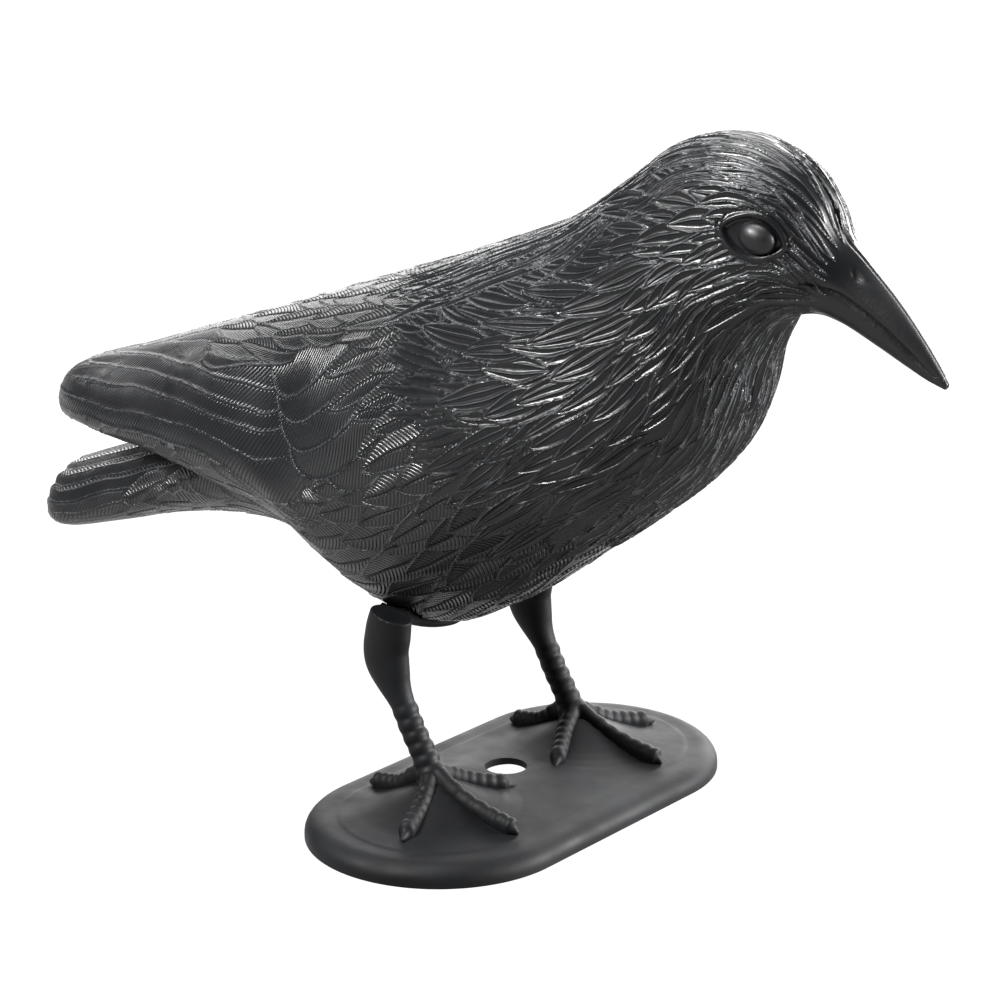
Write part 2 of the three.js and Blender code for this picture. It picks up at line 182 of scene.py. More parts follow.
# %% The ribs
rib_columns = "back_y back_z belly_y belly_z half wide above below".split()
body_ribs = np.array([
    (-166.6, 177.4, -165.4, 174.8, 1.2, 0.5, 2, 2),       # 0 tip of the bill
    (-158.2, 188.2, -154, 179, 3.9, 0.55, 1.7, 2),
    (-147.8, 199.6, -142.5, 184.8, 6.2, 0.55, 1.7, 2),
    (-135, 211.2, -130.5, 190.2, 8.8, 0.55, 1.8, 2),      # 3 root of the bill
    (-128, 217.6, -121, 192.5, 12.5, 0.5, 1.9, 2.1),
    (-121.5, 229.5, -113.5, 191.5, 16.5, 0.48, 1.9, 2.2),
    (-110.5, 239.5, -106.5, 187.5, 20.5, 0.46, 2, 2.3),     # 6 eyes
    (-92, 245, -102, 180, 24, 0.48, 2, 2.4),
    (-69, 240.5, -97.5, 170, 28, 0.5, 1.95, 2.4),
    (-49, 226.6, -94.5, 158, 33.5, 0.52, 1.9, 2.3),
    (-29, 212.8, -88, 143.5, 40, 0.52, 1.85, 2.2),          # 10 neck
    (-6, 203, -76, 129, 47.5, 0.52, 1.8, 2.1),
    (19, 193.2, -57, 113, 53, 0.53, 1.75, 2),             # 12 breast
    (45, 184, -33, 95, 55.5, 0.54, 1.7, 2),
    (68, 175.5, -2, 73.5, 55, 0.55, 1.65, 1.95),          # 14 belly
    (88, 168.3, 28, 62, 52, 0.56, 1.6, 1.8),
    (107, 161.3, 66, 84, 49, 0.6, 1.55, 1.75),            # 16 wing edge begins
    (126, 154.8, 106, 96, 44.5, 0.66, 1.5, 2.2),
    (148, 147, 143, 103, 38, 0.74, 1.5, 2.4),
    (174, 137.6, 173, 104, 31, 0.76, 1.5, 2.4),
    (199, 129.4, 198, 104, 23, 0.72, 1.6, 2.3),
    (214, 122.8, 213, 103, 14, 0.62, 1.8, 2.1),
    (222.5, 115, 222, 107, 4, 0.5, 2, 2),                 # 22 end of the folded wings
])
tail_ribs = np.array([
    (40, 120, 40, 86, 30, 0.5, 2, 2),                     # 0 inside the body
    (68, 122, 62, 78.5, 37, 0.46, 2, 1.8),
    (98, 122, 90, 84, 36, 0.46, 2, 1.8),
    (125, 116, 119, 84, 33, 0.52, 1.9, 2.1),              # 3 root of the tail
    (152, 108, 148, 79, 30, 0.6, 1.8, 2.6),
    (180, 98.5, 177, 71, 29, 0.68, 1.7, 3),
    (205, 89, 202, 64.5, 28.5, 0.7, 1.7, 3),
    (215, 85, 213, 65.5, 22, 0.68, 1.8, 2.6),             # 7 round end
])


def rib_at(ribs, place):
    """The rib at a place counted in ribs, as a smooth curve through its neighbours."""
    last = len(ribs) - 1
    whole = np.clip(np.floor(place).astype(int), 0, last - 1)
    f = (place - whole)[..., None]
    a, b, c, d = [ribs[np.clip(whole + step, 0, last)] for step in (-1, 0, 1, 2)]
    bend = (2 * a - 5 * b + 4 * c - d) * f**2 + (3 * b - a - 3 * c + d) * f**3
    return b + 0.5 * ((c - a) * f + bend)


def on_skin(ribs, place, turn):
    """Points of the skin. turn goes once round from the back, over the bird's left side."""
    place, turn = np.broadcast_arrays(np.asarray(place, float), np.asarray(turn, float))
    rib = dict(zip(rib_columns, np.moveaxis(rib_at(ribs, place), -1, 0)))
    up = np.cos(turn * full_turn)
    out = np.sin(turn * full_turn)
    power = 2 / np.where(up > 0, rib["above"], rib["below"])
    reach = np.abs(up) ** power
    down = np.where(up > 0, rib["wide"] * (1 - reach), rib["wide"] + (1 - rib["wide"]) * reach)
    x = rib["half"] * np.sign(out) * np.abs(out) ** power
    y = rib["back_y"] + (rib["belly_y"] - rib["back_y"]) * down
    z = rib["back_z"] + (rib["belly_z"] - rib["back_z"]) * down
    return np.stack([x, y, z], -1)


print("ribs:", len(body_ribs), "in the body and", len(tail_ribs), "in the tail")

# %% [markdown]
# A flat grid is rolled round the ribs and closed at both ends, once for the body with the folded
# wings and once for the tail. A loft made by hand from circles would give the same tube, but the
# grid keeps every point at a known rib and turn.

# %% Roll a grid round the ribs
def rolled_skin(name, ribs, faces_per_rib, columns):
    """A closed tube of skin over the ribs."""
    last = len(ribs) - 1
    bpy.ops.object.select_all(action="DESELECT")
    bpy.ops.mesh.primitive_grid_add(
        x_subdivisions=columns, y_subdivisions=last * faces_per_rib, size=1,
    )
    skin = bpy.context.object
    skin.name = name
    flat = np.array([v.co for v in skin.data.vertices]) + 0.5
    write_points(skin, on_skin(ribs, flat[:, 1] * last, flat[:, 0]))
    bpy.ops.object.mode_set(mode="EDIT")
    bpy.ops.mesh.select_all(action="SELECT")
    bpy.ops.mesh.remove_doubles(threshold=one_point)
    bpy.ops.mesh.fill_holes(sides=0)
    bpy.ops.mesh.select_all(action="SELECT")
    bpy.ops.mesh.quads_convert_to_tris()
    bpy.ops.mesh.normals_make_consistent(inside=False)
    bpy.ops.object.mode_set(mode="OBJECT")
    return skin


bird_skin = rolled_skin("bird_skin", body_ribs, faces_per_rib=8, columns=120)
tail_skin = rolled_skin("tail_skin", tail_ribs, faces_per_rib=8, columns=96)
select_only(tail_skin, bird_skin)
bpy.ops.object.join()
print("rolled skins:", len(bird_skin.data.polygons), "faces")

# %% [markdown]
# The two tubes become one skin with an even net of small faces, as if the form were cast. The
# voxel remesh does that, and it also gives the relief its points. The head carries the finest
# lines, so the form is drawn out larger there before the net is laid, and let back after it: the
# same voxel then gives finer faces on the head.

# %% Lay an even net over the skin
voxel = 0.72
finer_share = 1.45
coarser_share = 0.93
head_end, body_begin = -95, 5
body_end, tail_begin = 90, 170
spine_from, spine_height, spine_fall = -110, 200, 0.28
net_softening = 3


def share_at(y):
    """How much larger the form is drawn at y while the net is laid."""
    head = 1 - smooth_step(y, head_end, body_begin)
    rear = smooth_step(y, body_end, tail_begin)
    return 1 + (finer_share - 1) * head + (coarser_share - 1) * rear


def spine_z(y):
    """Height of the bird's middle line."""
    return spine_height - spine_fall * (y - spine_from)


ruler = np.linspace(-200, 260, 2000)
ruler_shares = share_at((ruler[1:] + ruler[:-1]) / 2)
ruler_drawn = np.concatenate([[0], np.cumsum(np.diff(ruler) * ruler_shares)])


def drawn_out(points):
    """The form with its head drawn out larger and its rear a little smaller."""
    x, y, z = points.T
    share = share_at(y)
    drawn_z = spine_z(y) + (z - spine_z(y)) * share
    return np.stack([x * share, np.interp(y, ruler, ruler_drawn), drawn_z], -1)


def let_back(points):
    """The form let back to its true size."""
    x, drawn_y, z = points.T
    y = np.interp(drawn_y, ruler_drawn, ruler)
    share = share_at(y)
    return np.stack([x / share, y, spine_z(y) + (z - spine_z(y)) / share], -1)


def melt(piece, size):
    """Makes one skin of a piece, with an even net of faces of about this size in mm."""
    select_only(piece)
    remesh = piece.modifiers.new("even net", "REMESH")
    remesh.mode = "VOXEL"
    remesh.voxel_size = size * mm
    bpy.ops.object.modifier_apply(modifier=remesh.name)


def soften(piece, times):
    """Evens out the small steps that the net leaves."""
    smooth = piece.modifiers.new("soften the net", "SMOOTH")
    smooth.factor = 0.5
    smooth.iterations = times
    bpy.ops.object.modifier_apply(modifier=smooth.name)


write_points(bird_skin, drawn_out(read_points(bird_skin)))
melt(bird_skin, voxel)
write_points(bird_skin, let_back(read_points(bird_skin)))
soften(bird_skin, net_softening)
print("net:", len(bird_skin.data.polygons), "faces")

# %% [markdown]
# The real shell is moulded in two halves that meet in a seam along the middle, so one half is
# carved here and its mirror image becomes the other. The bisect cuts the net along the middle.

# %% Keep the left half
cut_within, shortest_edge, near_seam = 0.01, 0.09, 0.1

bpy.ops.object.mode_set(mode="EDIT")
bpy.ops.mesh.select_all(action="SELECT")
bpy.ops.mesh.bisect(
    plane_co=(0, 0, 0), plane_no=(1, 0, 0), clear_inner=True, threshold=cut_within * mm,
)
bpy.ops.mesh.select_all(action="SELECT")
bpy.ops.mesh.remove_doubles(threshold=shortest_edge * mm)
bpy.ops.object.mode_set(mode="OBJECT")
half_points = read_points(bird_skin)
on_seam = np.abs(half_points[:, 0]) < near_seam
half_points[on_seam, 0] = 0
write_points(bird_skin, half_points)
half_normals = read_vectors(bird_skin.data.vertex_normals, "vector").astype(float)
half_normals[on_seam, 0] = 0
half_normals /= np.linalg.norm(half_normals, axis=1)[:, None]
print("left half:", len(half_points), "points,", int(on_seam.sum()), "of them on the seam")

# %% [markdown]
# Everything that is cut into the skin is laid feather by feather, from the tail to the bill, so
# that each feather covers the roots of those behind it. A feather is a line on the skin with a
# half width that changes along it. The points of the net near it learn how far along it they
# are, how far to its side, and how far inside its outline, and from that their height.

# %% Set up the carving of one half
order = np.argsort(half_points[:, 1])
net_points = half_points[order]
net_normals = half_normals[order]
net = {
    "height": np.zeros(len(order)),
    "barb": np.zeros(len(order)),
    "barb_depth": np.zeros(len(order)),
    "crest": np.zeros(len(order)),
    "crest_gap": np.ones(len(order)),
    "crest_depth": np.zeros(len(order)),
    "edge": np.full(len(order), 3.0),
    "edge_depth": np.zeros(len(order)),
    "bare": np.zeros(len(order)),
}
wobble, wobble_length = 0.4, 26.0
finer_wobble, finer_length = 0.2, 0.35 * wobble_length
wobble_ways = np.array([(0.8, 0.5, -0.3), (-0.4, 0.7, 0.6), (0.3, -0.6, 0.9)])


def hand_carved(points):
    """The points moved a little to and fro, so that no line comes out ruler-straight."""
    phase = points @ wobble_ways.T
    waves = np.sin(phase * 2 * math.pi / wobble_length + (0.0, 1.7, 3.9))
    finer = np.sin(phase[:, ::-1] * 2 * math.pi / finer_length + (2.1, 0.4, 5.0))
    return points + wobble * (waves + finer_wobble * finer)


wavy_points = hand_carved(net_points)
print("the net's points hold", len(net), "values each")

# %% [markdown]
# A shaft bends with the skin, so it is given as a row of points. The nearest run of it is found
# first, and then the place along the smooth line through the points is bettered in a few small
# steps, because plain runs would leave a kink in every barb where two of them meet.

# %% Find points beside a shaft
line_steps, line_stride = 4, 0.8


def near_points(low, high):
    """Numbers of the net's points inside a box."""
    first, last = np.searchsorted(net_points[:, 1], [low[1], high[1]])
    x, _, z = net_points[first:last].T
    inside = (x > low[0]) & (x < high[0]) & (z > low[2]) & (z < high[2])
    return first + np.flatnonzero(inside)


def beside_line(near, line, out):
    """For points near a line on the skin: how far along it and to its side they are."""
    points = wavy_points[near]
    runs = np.diff(line, axis=0)
    lengths = np.linalg.norm(runs, axis=1)
    knots = np.concatenate([[0], np.cumsum(lengths)])
    along = np.zeros(len(near))
    off = np.full(len(near), np.inf)
    for k, length in enumerate(lengths):
        way = runs[k] / max(length, 1e-6)
        rel = points - line[k]
        run = rel @ way
        if k > 0:
            run = np.maximum(run, 0)
        if k < len(lengths) - 1:
            run = np.minimum(run, length)
        distance = np.linalg.norm(rel - run[:, None] * way, axis=1)
        closer = distance < off
        off = np.where(closer, distance, off)
        along = np.where(closer, knots[k] + run, along)
    ways = np.gradient(line, axis=0)
    ways /= np.linalg.norm(ways, axis=1)[:, None]
    across = np.cross(out, ways)
    for _ in range(line_steps):
        inside = np.clip(along, 0, knots[-1])
        centre, way, beside = [
            np.stack([np.interp(inside, knots, column) for column in rows.T], 1)
            for rows in (line, ways, across)
        ]
        rel = points - centre
        along = inside + line_stride * (rel * way).sum(1)
    side = (rel * beside).sum(1)
    return along, side, lengths


print("a shaft is followed in", line_steps, "steps")

# %% [markdown]
# One feather at a time is pressed into the net. Inside its outline it takes the place of what
# was there, with a soft step at its edge, and its tip stands proud. The rim, the shaft and the
# barbs are kept as distances too, because the plastic's material draws them sharper than the net.

# %% Lay one feather
soft_edge = 0.42
same_side = 0.25
fade_from, fade_beside = 0.2, 0.9
root_fade = 0.06
crests_apart = (0.6, 1.3)
crests_end = (0.85, 0.98)
barbs_from_edge = (0.15, 0.7)
barbs_from_shaft = (0.1, 0.5)
barb_curve, barb_sweep = 0.45, 0.75
outline_step = 0.01


def feather_shape(share, kind):
    """Half width of a feather as a share of its widest, from root 0 to tip 1."""
    tip = np.clip((share - kind["tip_from"]) / (1 - kind["tip_from"]), 0, 1)
    root = np.clip(share / kind["root_to"], 0, 1)
    shape = (1 - tip ** kind["tip_round"]) ** (1 / kind["tip_blunt"])
    shape = shape * (kind["root_wide"] + (1 - kind["root_wide"]) * np.sin(root * math.pi / 2))
    return np.where((share < 0) | (share > 1), 0, shape)


def lay_feather(line, out, half_width, kind):
    """Lays one feather over what is there, along a shaft with its ways off the skin."""
    widest = np.max(half_width)
    low = line.min(0) - widest - 1
    high = line.max(0) + widest + 1
    near = near_points(low, high)
    near = near[net_normals[near] @ out[len(out) // 2] > same_side]
    if len(near) == 0:
        return
    along, side, lengths = beside_line(near, line, out)
    total = lengths.sum()
    knots = np.concatenate([[0], np.cumsum(lengths)])
    widths = np.broadcast_to(half_width, len(knots))
    share = along / total

    # How far inside the outline each point lies, measured square to the outline
    width = np.interp(along, knots, widths)
    here = width * feather_shape(share, kind)
    ahead = feather_shape(share + outline_step, kind)
    behind = feather_shape(share - outline_step, kind)
    slope = width * (ahead - behind) / (2 * outline_step * total)
    edge = (here - np.abs(side)) / np.sqrt(1 + slope**2)
    edge = np.where((share < 0) | (share > 1), -1, edge)

    # How far the feather covers what was there, and the gap just beside it
    cover = smooth_step(edge, -soft_edge, soft_edge)
    bare_root = kind["bare_root"]
    cover = cover * smooth_step(share, bare_root - root_fade, bare_root + root_fade)
    fringe = (edge > -fade_beside) & (share > bare_root)
    for name in ("barb_depth", "crest_depth"):
        net[name][near[fringe]] *= smooth_step(-edge[fringe], fade_from, fade_beside)
    touched = cover > 0
    near, along, side = near[touched], along[touched], side[touched]
    edge, cover, share = edge[touched], cover[touched], share[touched]
    here = np.maximum(here[touched], 0.1)

    # The form across and along the feather, and its ridges
    across_share = np.clip(np.abs(side) / here, 0, 1)
    spacing = here / max(kind["crests"], 1)
    crest = side / spacing + kind["crest_shift"]
    off_crest = np.abs(crest - np.round(crest) * (kind["crests"] > 0)) * spacing
    apart = smooth_step(spacing, *crests_apart) * (1 - smooth_step(share, *crests_end))
    height = kind["lift"] * np.clip(share, 0, 1) ** kind["lift_curve"]
    height = height + kind["camber"] * (1 - across_share**2)
    height = height + kind["rim"] * ridge(edge - kind["line_width"], kind["line_width"])
    height = height + kind["crest"] * ridge(off_crest, kind["line_width"]) * apart

    # The barbs slant away from the shaft and curve as they near the edge
    angle = math.radians(kind["barb_angle"])
    sweep = across_share * barb_curve + barb_sweep
    if kind["barb_pitch"]:
        barb = (along * math.sin(angle) - np.abs(side) * math.cos(angle) * sweep) / kind["barb_pitch"]
    else:
        barb = np.zeros(len(near))
    inside = smooth_step(edge, *barbs_from_edge)
    blended = {
        "height": height,
        "barb_depth": kind["barb_depth"] * inside * smooth_step(np.abs(side), *barbs_from_shaft),
        "crest_depth": np.sign(kind["crest"]) * apart * inside,
        "edge_depth": kind["edge_depth"],
    }
    for name, value in blended.items():
        net[name][near] = net[name][near] * (1 - cover) + value * cover
    own = cover > 0.5
    taken_over = {"barb": barb, "edge": edge, "crest": crest, "crest_gap": spacing}
    for name, value in taken_over.items():
        net[name][near] = np.where(own, value, net[name][near])


print("a feather's edge is", 2 * soft_edge, "mm soft")

# %% [markdown]
# The kinds of feather on this bird. Those of the wings, flanks and tail are vanes: a raised rim,
# a shaft and slanting barbs, and the tip stands proud of the next one. Those of the head, neck
# and breast are narrow spindles with a raised outline and a ridge down the middle, like strands.
# The names with tip and root give the outline, as shares of the length. lift, camber, rim and
# crest are heights in mm, crests is how many ridges lie in half the width, and the names with
# barb give the slanting barbs. Each kind is written as what sets it apart from another.

# %% Kinds of feather
leaf = {
    "tip_from": 0.35, "tip_round": 1.9, "tip_blunt": 1.35, "root_to": 0.4, "root_wide": 0.5,
    "bare_root": 0.1, "lift": 0.25, "lift_curve": 1.4, "camber": 0.15, "rim": 0.36,
    "line_width": 0.5, "edge_depth": 1.0, "crest": -0.3, "crests": 0, "crest_shift": 0.0,
    "barb_pitch": 1.46, "barb_angle": 55, "barb_depth": 1.0,
}
covert = dict(leaf, tip_from=0.7, tip_round=2.2, tip_blunt=2.0, lift=0.2, lift_curve=1.0, crest=-0.25,
              barb_angle=62, root_wide=0.8, rim=0.36, camber=0.1)
primary = dict(leaf, tip_from=0.93, tip_round=2.1, tip_blunt=2.0, root_to=0.1, root_wide=0.8, bare_root=0.0,
               lift=0.3, lift_curve=0.5, camber=0.25, rim=0.36, crest=0.0, barb_pitch=1.75, barb_angle=66)
tertial = dict(primary, tip_from=0.8, lift=0.35, rim=0.3, crest=-0.15, barb_pitch=1.15, barb_angle=48)
small_vane = dict(leaf, barb_pitch=1.25, barb_angle=38, lift=0.2, rim=0.26, camber=0.1, crest=-0.25)
tail_vane = dict(primary, barb_pitch=1.3, barb_angle=35, tip_from=0.9, lift=0.5, rim=0.24, crest=0.15)
strand = dict(leaf, tip_from=0.45, tip_round=1.8, tip_blunt=1.3, root_to=0.55, root_wide=0.1, bare_root=0.02,
              lift=0.05, camber=-0.1, rim=0.62, crest=0.6, crests=1.5, crest_shift=0.5, line_width=0.52,
              barb_pitch=0, barb_depth=0.0)
looped_strand = dict(strand, crests=1, crest_shift=0.0, crest=0.5)
throat_strand = dict(looped_strand, rim=0.6, camber=-0.15)
comb_strand = dict(strand, crests=0, rim=0.45, crest=0.0, line_width=0.45, camber=-0.1)
face_strand = dict(comb_strand, rim=0.38, line_width=0.4)
under_strand = dict(comb_strand, rim=0.32, edge_depth=0.5)
print("a kind of feather is told by", len(leaf), "numbers")

# %% [markdown]
# Each shaft is walked over the skin from its root. At every step the slopes of the skin along
# the ribs and round them say how far a way in space goes along and round, so the shaft stays on
# the skin and keeps its length whatever the form does below it.

# %% Walk shafts over the skin
skin_step = 0.002
middle_line = (0.002, 0.498)


def skin_frame(ribs, place, turn):
    """Point, lengthwise way, way round and way out of the skin."""
    lengthwise = on_skin(ribs, place + skin_step, turn) - on_skin(ribs, place - skin_step, turn)
    around = on_skin(ribs, place, turn + skin_step) - on_skin(ribs, place, turn - skin_step)
    out = np.cross(around, lengthwise)
    out /= np.maximum(np.linalg.norm(out, axis=-1, keepdims=True), 1e-9)
    return on_skin(ribs, place, turn), lengthwise / (2 * skin_step), around / (2 * skin_step), out


def walk(ribs, place, turn, length, slant, steps):
    """Shafts walked over the skin, all at once: points and ways out, one row for each feather."""
    place = np.array(place, float)
    turn = np.array(turn, float)
    points, outs = [], []
    for _ in range(steps + 1):
        point, lengthwise, around, out = skin_frame(ribs, place, turn)
        points.append(point)
        outs.append(out)
        ahead = lengthwise / np.linalg.norm(lengthwise, axis=-1, keepdims=True)
        beside = np.cross(ahead, out)
        way = ahead * np.cos(slant)[:, None] + beside * np.sin(slant)[:, None]
        way = way * (length / steps)[:, None]
        aa = (lengthwise * lengthwise).sum(-1)
        bb = (around * around).sum(-1)
        ab = (lengthwise * around).sum(-1)
        aw = (lengthwise * way).sum(-1)
        bw = (around * way).sum(-1)
        spread = aa * bb - ab * ab
        place = place + (aw * bb - bw * ab) / spread
        turn = np.clip(turn + (bw * aa - aw * ab) / spread, *middle_line)
    return np.stack(points, 1), np.stack(outs, 1)


print("a shaft stays between turns", middle_line, "of its half")

# %% [markdown]
# A tract is a field of feathers of one kind. Its rows follow the ribs, and every second row is
# moved half a feather round, as roof tiles are. The dice make each feather a little longer or
# shorter, wider or slimmer, and turn it, because a sculptor's feathers are never all alike. They
# are seeded, so the bird comes out the same each time.

# %% Set out rows of feathers
dice = np.random.default_rng(4)


def measured(line):
    """Distance run along a line of points, from 0 at its start."""
    return np.concatenate([[0], np.cumsum(np.linalg.norm(np.diff(line, axis=0), axis=1))])


def round_row(ribs, place, spacing, start, stop, offset):
    """Turns of feathers set evenly round the skin at one rib place."""
    turns = np.linspace(start, stop, 60)
    run = measured(on_skin(ribs, place, turns))
    return np.interp(np.arange(offset * spacing, run[-1], spacing), run, turns)


def lengthwise_rows(ribs, start, stop, spacing, turn):
    """Rib places of rows set evenly along the skin."""
    places = np.linspace(start, stop, 200)
    run = measured(on_skin(ribs, places, turn))
    return np.interp(np.arange(0, run[-1], spacing), run, places)


def tract(ribs, places, turns, row, column, length, half_width, slant=0.0, steps=4, loose=0.12):
    """Shafts of a field of feathers. places and turns are the field's ends, lengths are in mm."""
    start_turn, stop_turn = turns
    rows = lengthwise_rows(ribs, *places, row, (start_turn + stop_turn) / 2)
    place, turn = [], []
    for number, at in enumerate(rows):
        along_row = round_row(ribs, at, column, start_turn, stop_turn, 0.5 * (number % 2) + 0.02)
        place.extend([at] * len(along_row))
        turn.extend(along_row)
    place, turn = np.array(place), np.array(turn)
    count = len(place)
    spread = (rows[-1] - rows[0]) / max(len(rows) - 1, 1)
    place = place + dice.uniform(-loose, loose, count) * spread
    lengths = length * (1 + dice.uniform(-loose, loose, count))
    widths = half_width * (1 + dice.uniform(-loose, loose, count))
    slants = slant(place, turn) if callable(slant) else np.full(count, math.radians(slant))
    slants = slants + dice.uniform(-0.5, 0.5, count) * loose
    lines, outs = walk(ribs, place, turn, lengths, slants, steps)
    return list(zip(place, lines, outs, widths))


def lay_field(ribs, kind, places, turns, **sizes):
    """Sets out a field of feathers and lays it, the hindmost feather first."""
    feathers = tract(ribs, places, turns, **sizes)
    for _, line, out, width in sorted(feathers, key=lambda feather: -feather[0]):
        lay_feather(line, out, width, kind)
    return len(feathers)


print("rows of feathers can be set out")

# %% [markdown]
# The long feathers of the wings and tail aren't a field: each one has its own place. It is given
# either by the lines of its two edges, or by its root, its tip and its width.

# %% Lay long feathers
band_points, single_points = 11, 6


def lay_band(ribs, kind, places, upper_turns, lower_turns):
    """A long feather between two lines over the skin, given at its root, its tip and between."""
    knots = np.linspace(places[0], places[-1], band_points)
    upper = np.interp(knots, places, upper_turns)
    lower = np.interp(knots, places, lower_turns)
    point, _, _, out = skin_frame(ribs, knots, (upper + lower) / 2)
    across = np.linalg.norm(on_skin(ribs, knots, upper) - on_skin(ribs, knots, lower), axis=1)
    lay_feather(point, out, across / 2, kind)


def lay_single(ribs, kind, root, tip, half_width):
    """One feather from its root to its tip, each given as a rib place and a turn."""
    knots = np.linspace(0, 1, single_points)[:, None]
    places, turns = (np.array(root) + knots * (np.array(tip) - np.array(root))).T
    point, _, _, out = skin_frame(ribs, places, turns)
    lay_feather(point, out, half_width, kind)


print("long feathers are followed over", band_points, "points")

# %% [markdown]
# The tail first, because it is the hindmost. Six long feathers lie over each other on each side,
# the middle one on top, and they end in a fan. Leaf feathers cover its root above and below.

# %% Tail and rump
upper_root, upper_turn_wide = 2.5, 0.07
upper_edges = ((0.30, 6.55), (0.255, 6.7), (0.21, 6.82), (0.16, 6.9), (0.11, 6.95), (0.06, 6.98))
for edge_turn, tip_place in upper_edges:
    edges = (edge_turn - upper_turn_wide,) * 2, (edge_turn,) * 2
    lay_band(tail_ribs, tail_vane, (upper_root, tip_place), *edges)

lower_root, lower_tip, lower_turn_half = 2.0, 6.9, 0.03
lower_middles = (0.34, 0.385, 0.43, 0.47)
for middle_turn in lower_middles:
    edges = (middle_turn - lower_turn_half,) * 2, (middle_turn + lower_turn_half,) * 2
    lay_band(tail_ribs, tail_vane, (lower_root, lower_tip), *edges)

laid = len(upper_edges) + len(lower_middles)
laid += lay_field(
    tail_ribs, leaf, (1.0, 3.8), (0.24, 0.5),
    row=12, column=10, length=32, half_width=6.5,
)
laid += lay_field(
    body_ribs, dict(primary, tip_from=0.6), (16.8, 20.5), (0.3, 0.5),
    row=14, column=10, length=34, half_width=6.0,
)
print("tail and rump:", laid, "feathers")

# %% [markdown]
# Flank and belly: leaf-shaped feathers with a shaft and slanting barbs, about 21 mm of each
# showing. They reach up to the wing, so they are laid before it.

# %% Flank and belly
laid = lay_field(
    body_ribs, leaf, (12.6, 16.7), (0.2, 0.5),
    row=15, column=12, length=36, half_width=6.9, slant=-1, loose=0.16,
)
print("flank and belly:", laid, "feathers")

# %% [markdown]
# The folded wing. Its long feathers run nearly parallel to the tip of the wing, and each upper
# one covers the next lower one and ends further forward. Each is given by the line of its lower
# edge, as places along the body and turns round it.

# %% Long feathers of the folded wing
wing_turn_wide = 0.085
wing_edges = (
    ((14.6, 15.25, 16, 17.2, 18.5, 20.4, 21.9), (0.256, 0.24, 0.234, 0.231, 0.231, 0.24, 0.25)),
    ((14.6, 15.5, 16.75, 18.3, 20.1, 21.8), (0.204, 0.201, 0.2, 0.196, 0.19, 0.195)),
    ((14.6, 15.7, 16.8, 18.0, 20.0, 21.0), (0.177, 0.178, 0.174, 0.160, 0.134, 0.125)),
    ((14.6, 15.7, 16.9, 18.25, 19.75, 20.4), (0.162, 0.161, 0.15, 0.13, 0.096, 0.08)),
    ((14.6, 15.3, 16.3, 17.7, 19.3, 19.8), (0.141, 0.14, 0.136, 0.114, 0.072, 0.06)),
)
for places, turns in wing_edges:
    turns = np.array(turns)
    lay_band(body_ribs, primary, places, turns - wing_turn_wide, turns)

back_root, back_turn_wide = 14.8, 0.045
back_edges = ((0.05, 19.2), (0.03, 20.2))
for edge_turn, tip_place in back_edges:
    edges = (edge_turn - back_turn_wide,) * 2, (edge_turn,) * 2
    lay_band(body_ribs, primary, (back_root, tip_place), *edges)
print("folded wing:", len(wing_edges) + len(back_edges), "long feathers")

# %% [markdown]
# Shorter feathers lie over the roots of the long ones: slim inner feathers above, round-ended
# coverts on the shoulder, and leaves in front, where the wing runs out into the breast.

# %% Inner feathers and coverts
inner_feathers = (
    ((13.3, 0.085), (17.2, 0.098), 9.5),
    ((13.1, 0.075), (16.5, 0.080), 8.5),
    ((12.9, 0.065), (15.85, 0.075), 8.0),
    ((12.7, 0.085), (15.2, 0.097), 5.5),
    ((12.9, 0.05), (15.9, 0.04), 6.5),
)
for root, tip, half_width in inner_feathers:
    lay_single(body_ribs, tertial, root, tip, half_width)

covert_turn_wide = 0.095
covert_edges = (
    ((12.0, 12.9, 13.7, 14.3), (0.215, 0.236, 0.252, 0.256)),
    ((12.1, 13.2, 14.0, 14.85), (0.190, 0.212, 0.226, 0.228)),
    ((12.3, 13.2, 14.0, 15.0), (0.165, 0.184, 0.198, 0.202)),
    ((12.6, 13.7, 14.4, 15.1), (0.145, 0.166, 0.173, 0.176)),
    ((13.0, 13.7, 14.4, 15.3), (0.112, 0.132, 0.148, 0.155)),
)
for places, turns in covert_edges:
    turns = np.array(turns)
    lay_band(body_ribs, covert, places, turns - covert_turn_wide, turns)

laid = len(inner_feathers) + len(covert_edges)
laid += lay_field(
    body_ribs, leaf, (11.5, 12.9), (0.1, 0.25),
    row=14, column=11.5, length=34, half_width=6.7, slant=5, loose=0.16,
)
print("root of the wing:", laid, "feathers")

# %% [markdown]
# Forward of the wing the leaves run on over the flank, the shoulder and the breast, and smaller
# ones with finer barbs cover the back.

# %% Shoulder, breast and back
laid = lay_field(
    body_ribs, leaf, (11.2, 12.4), (0.24, 0.5),
    row=14, column=11.5, length=34, half_width=6.7, slant=-6, loose=0.16,
)
laid += lay_field(
    body_ribs, small_vane, (10.6, 15.6), (0.0, 0.11),
    row=15, column=10, length=36, half_width=5.8, slant=-9, loose=0.2,
)
print("shoulder, breast and back:", laid, "feathers")

# %% [markdown]
# The head, neck and breast have narrow feathers with raised outlines and ridges inside that meet
# at both ends, laid in a net like woven strands: broad ones on the shoulder, long slim ones on
# the throat and breast, fine ones over the crown, and very small ones on the face. On the side of
# the neck they lie flatter than the ribs' own way. Each line of the table is one field: its kind,
# its rib places, its turns, how far apart its rows and its strands are, and their size.

# %% Head, neck and breast
neck_turn, neck_turn_wide, neck_most = 0.165, 0.095, -0.62
neck_begins, neck_ends = (5.8, 7.5), (12, 13.5)
even = dict(slant=0.0, steps=4, loose=0.25)


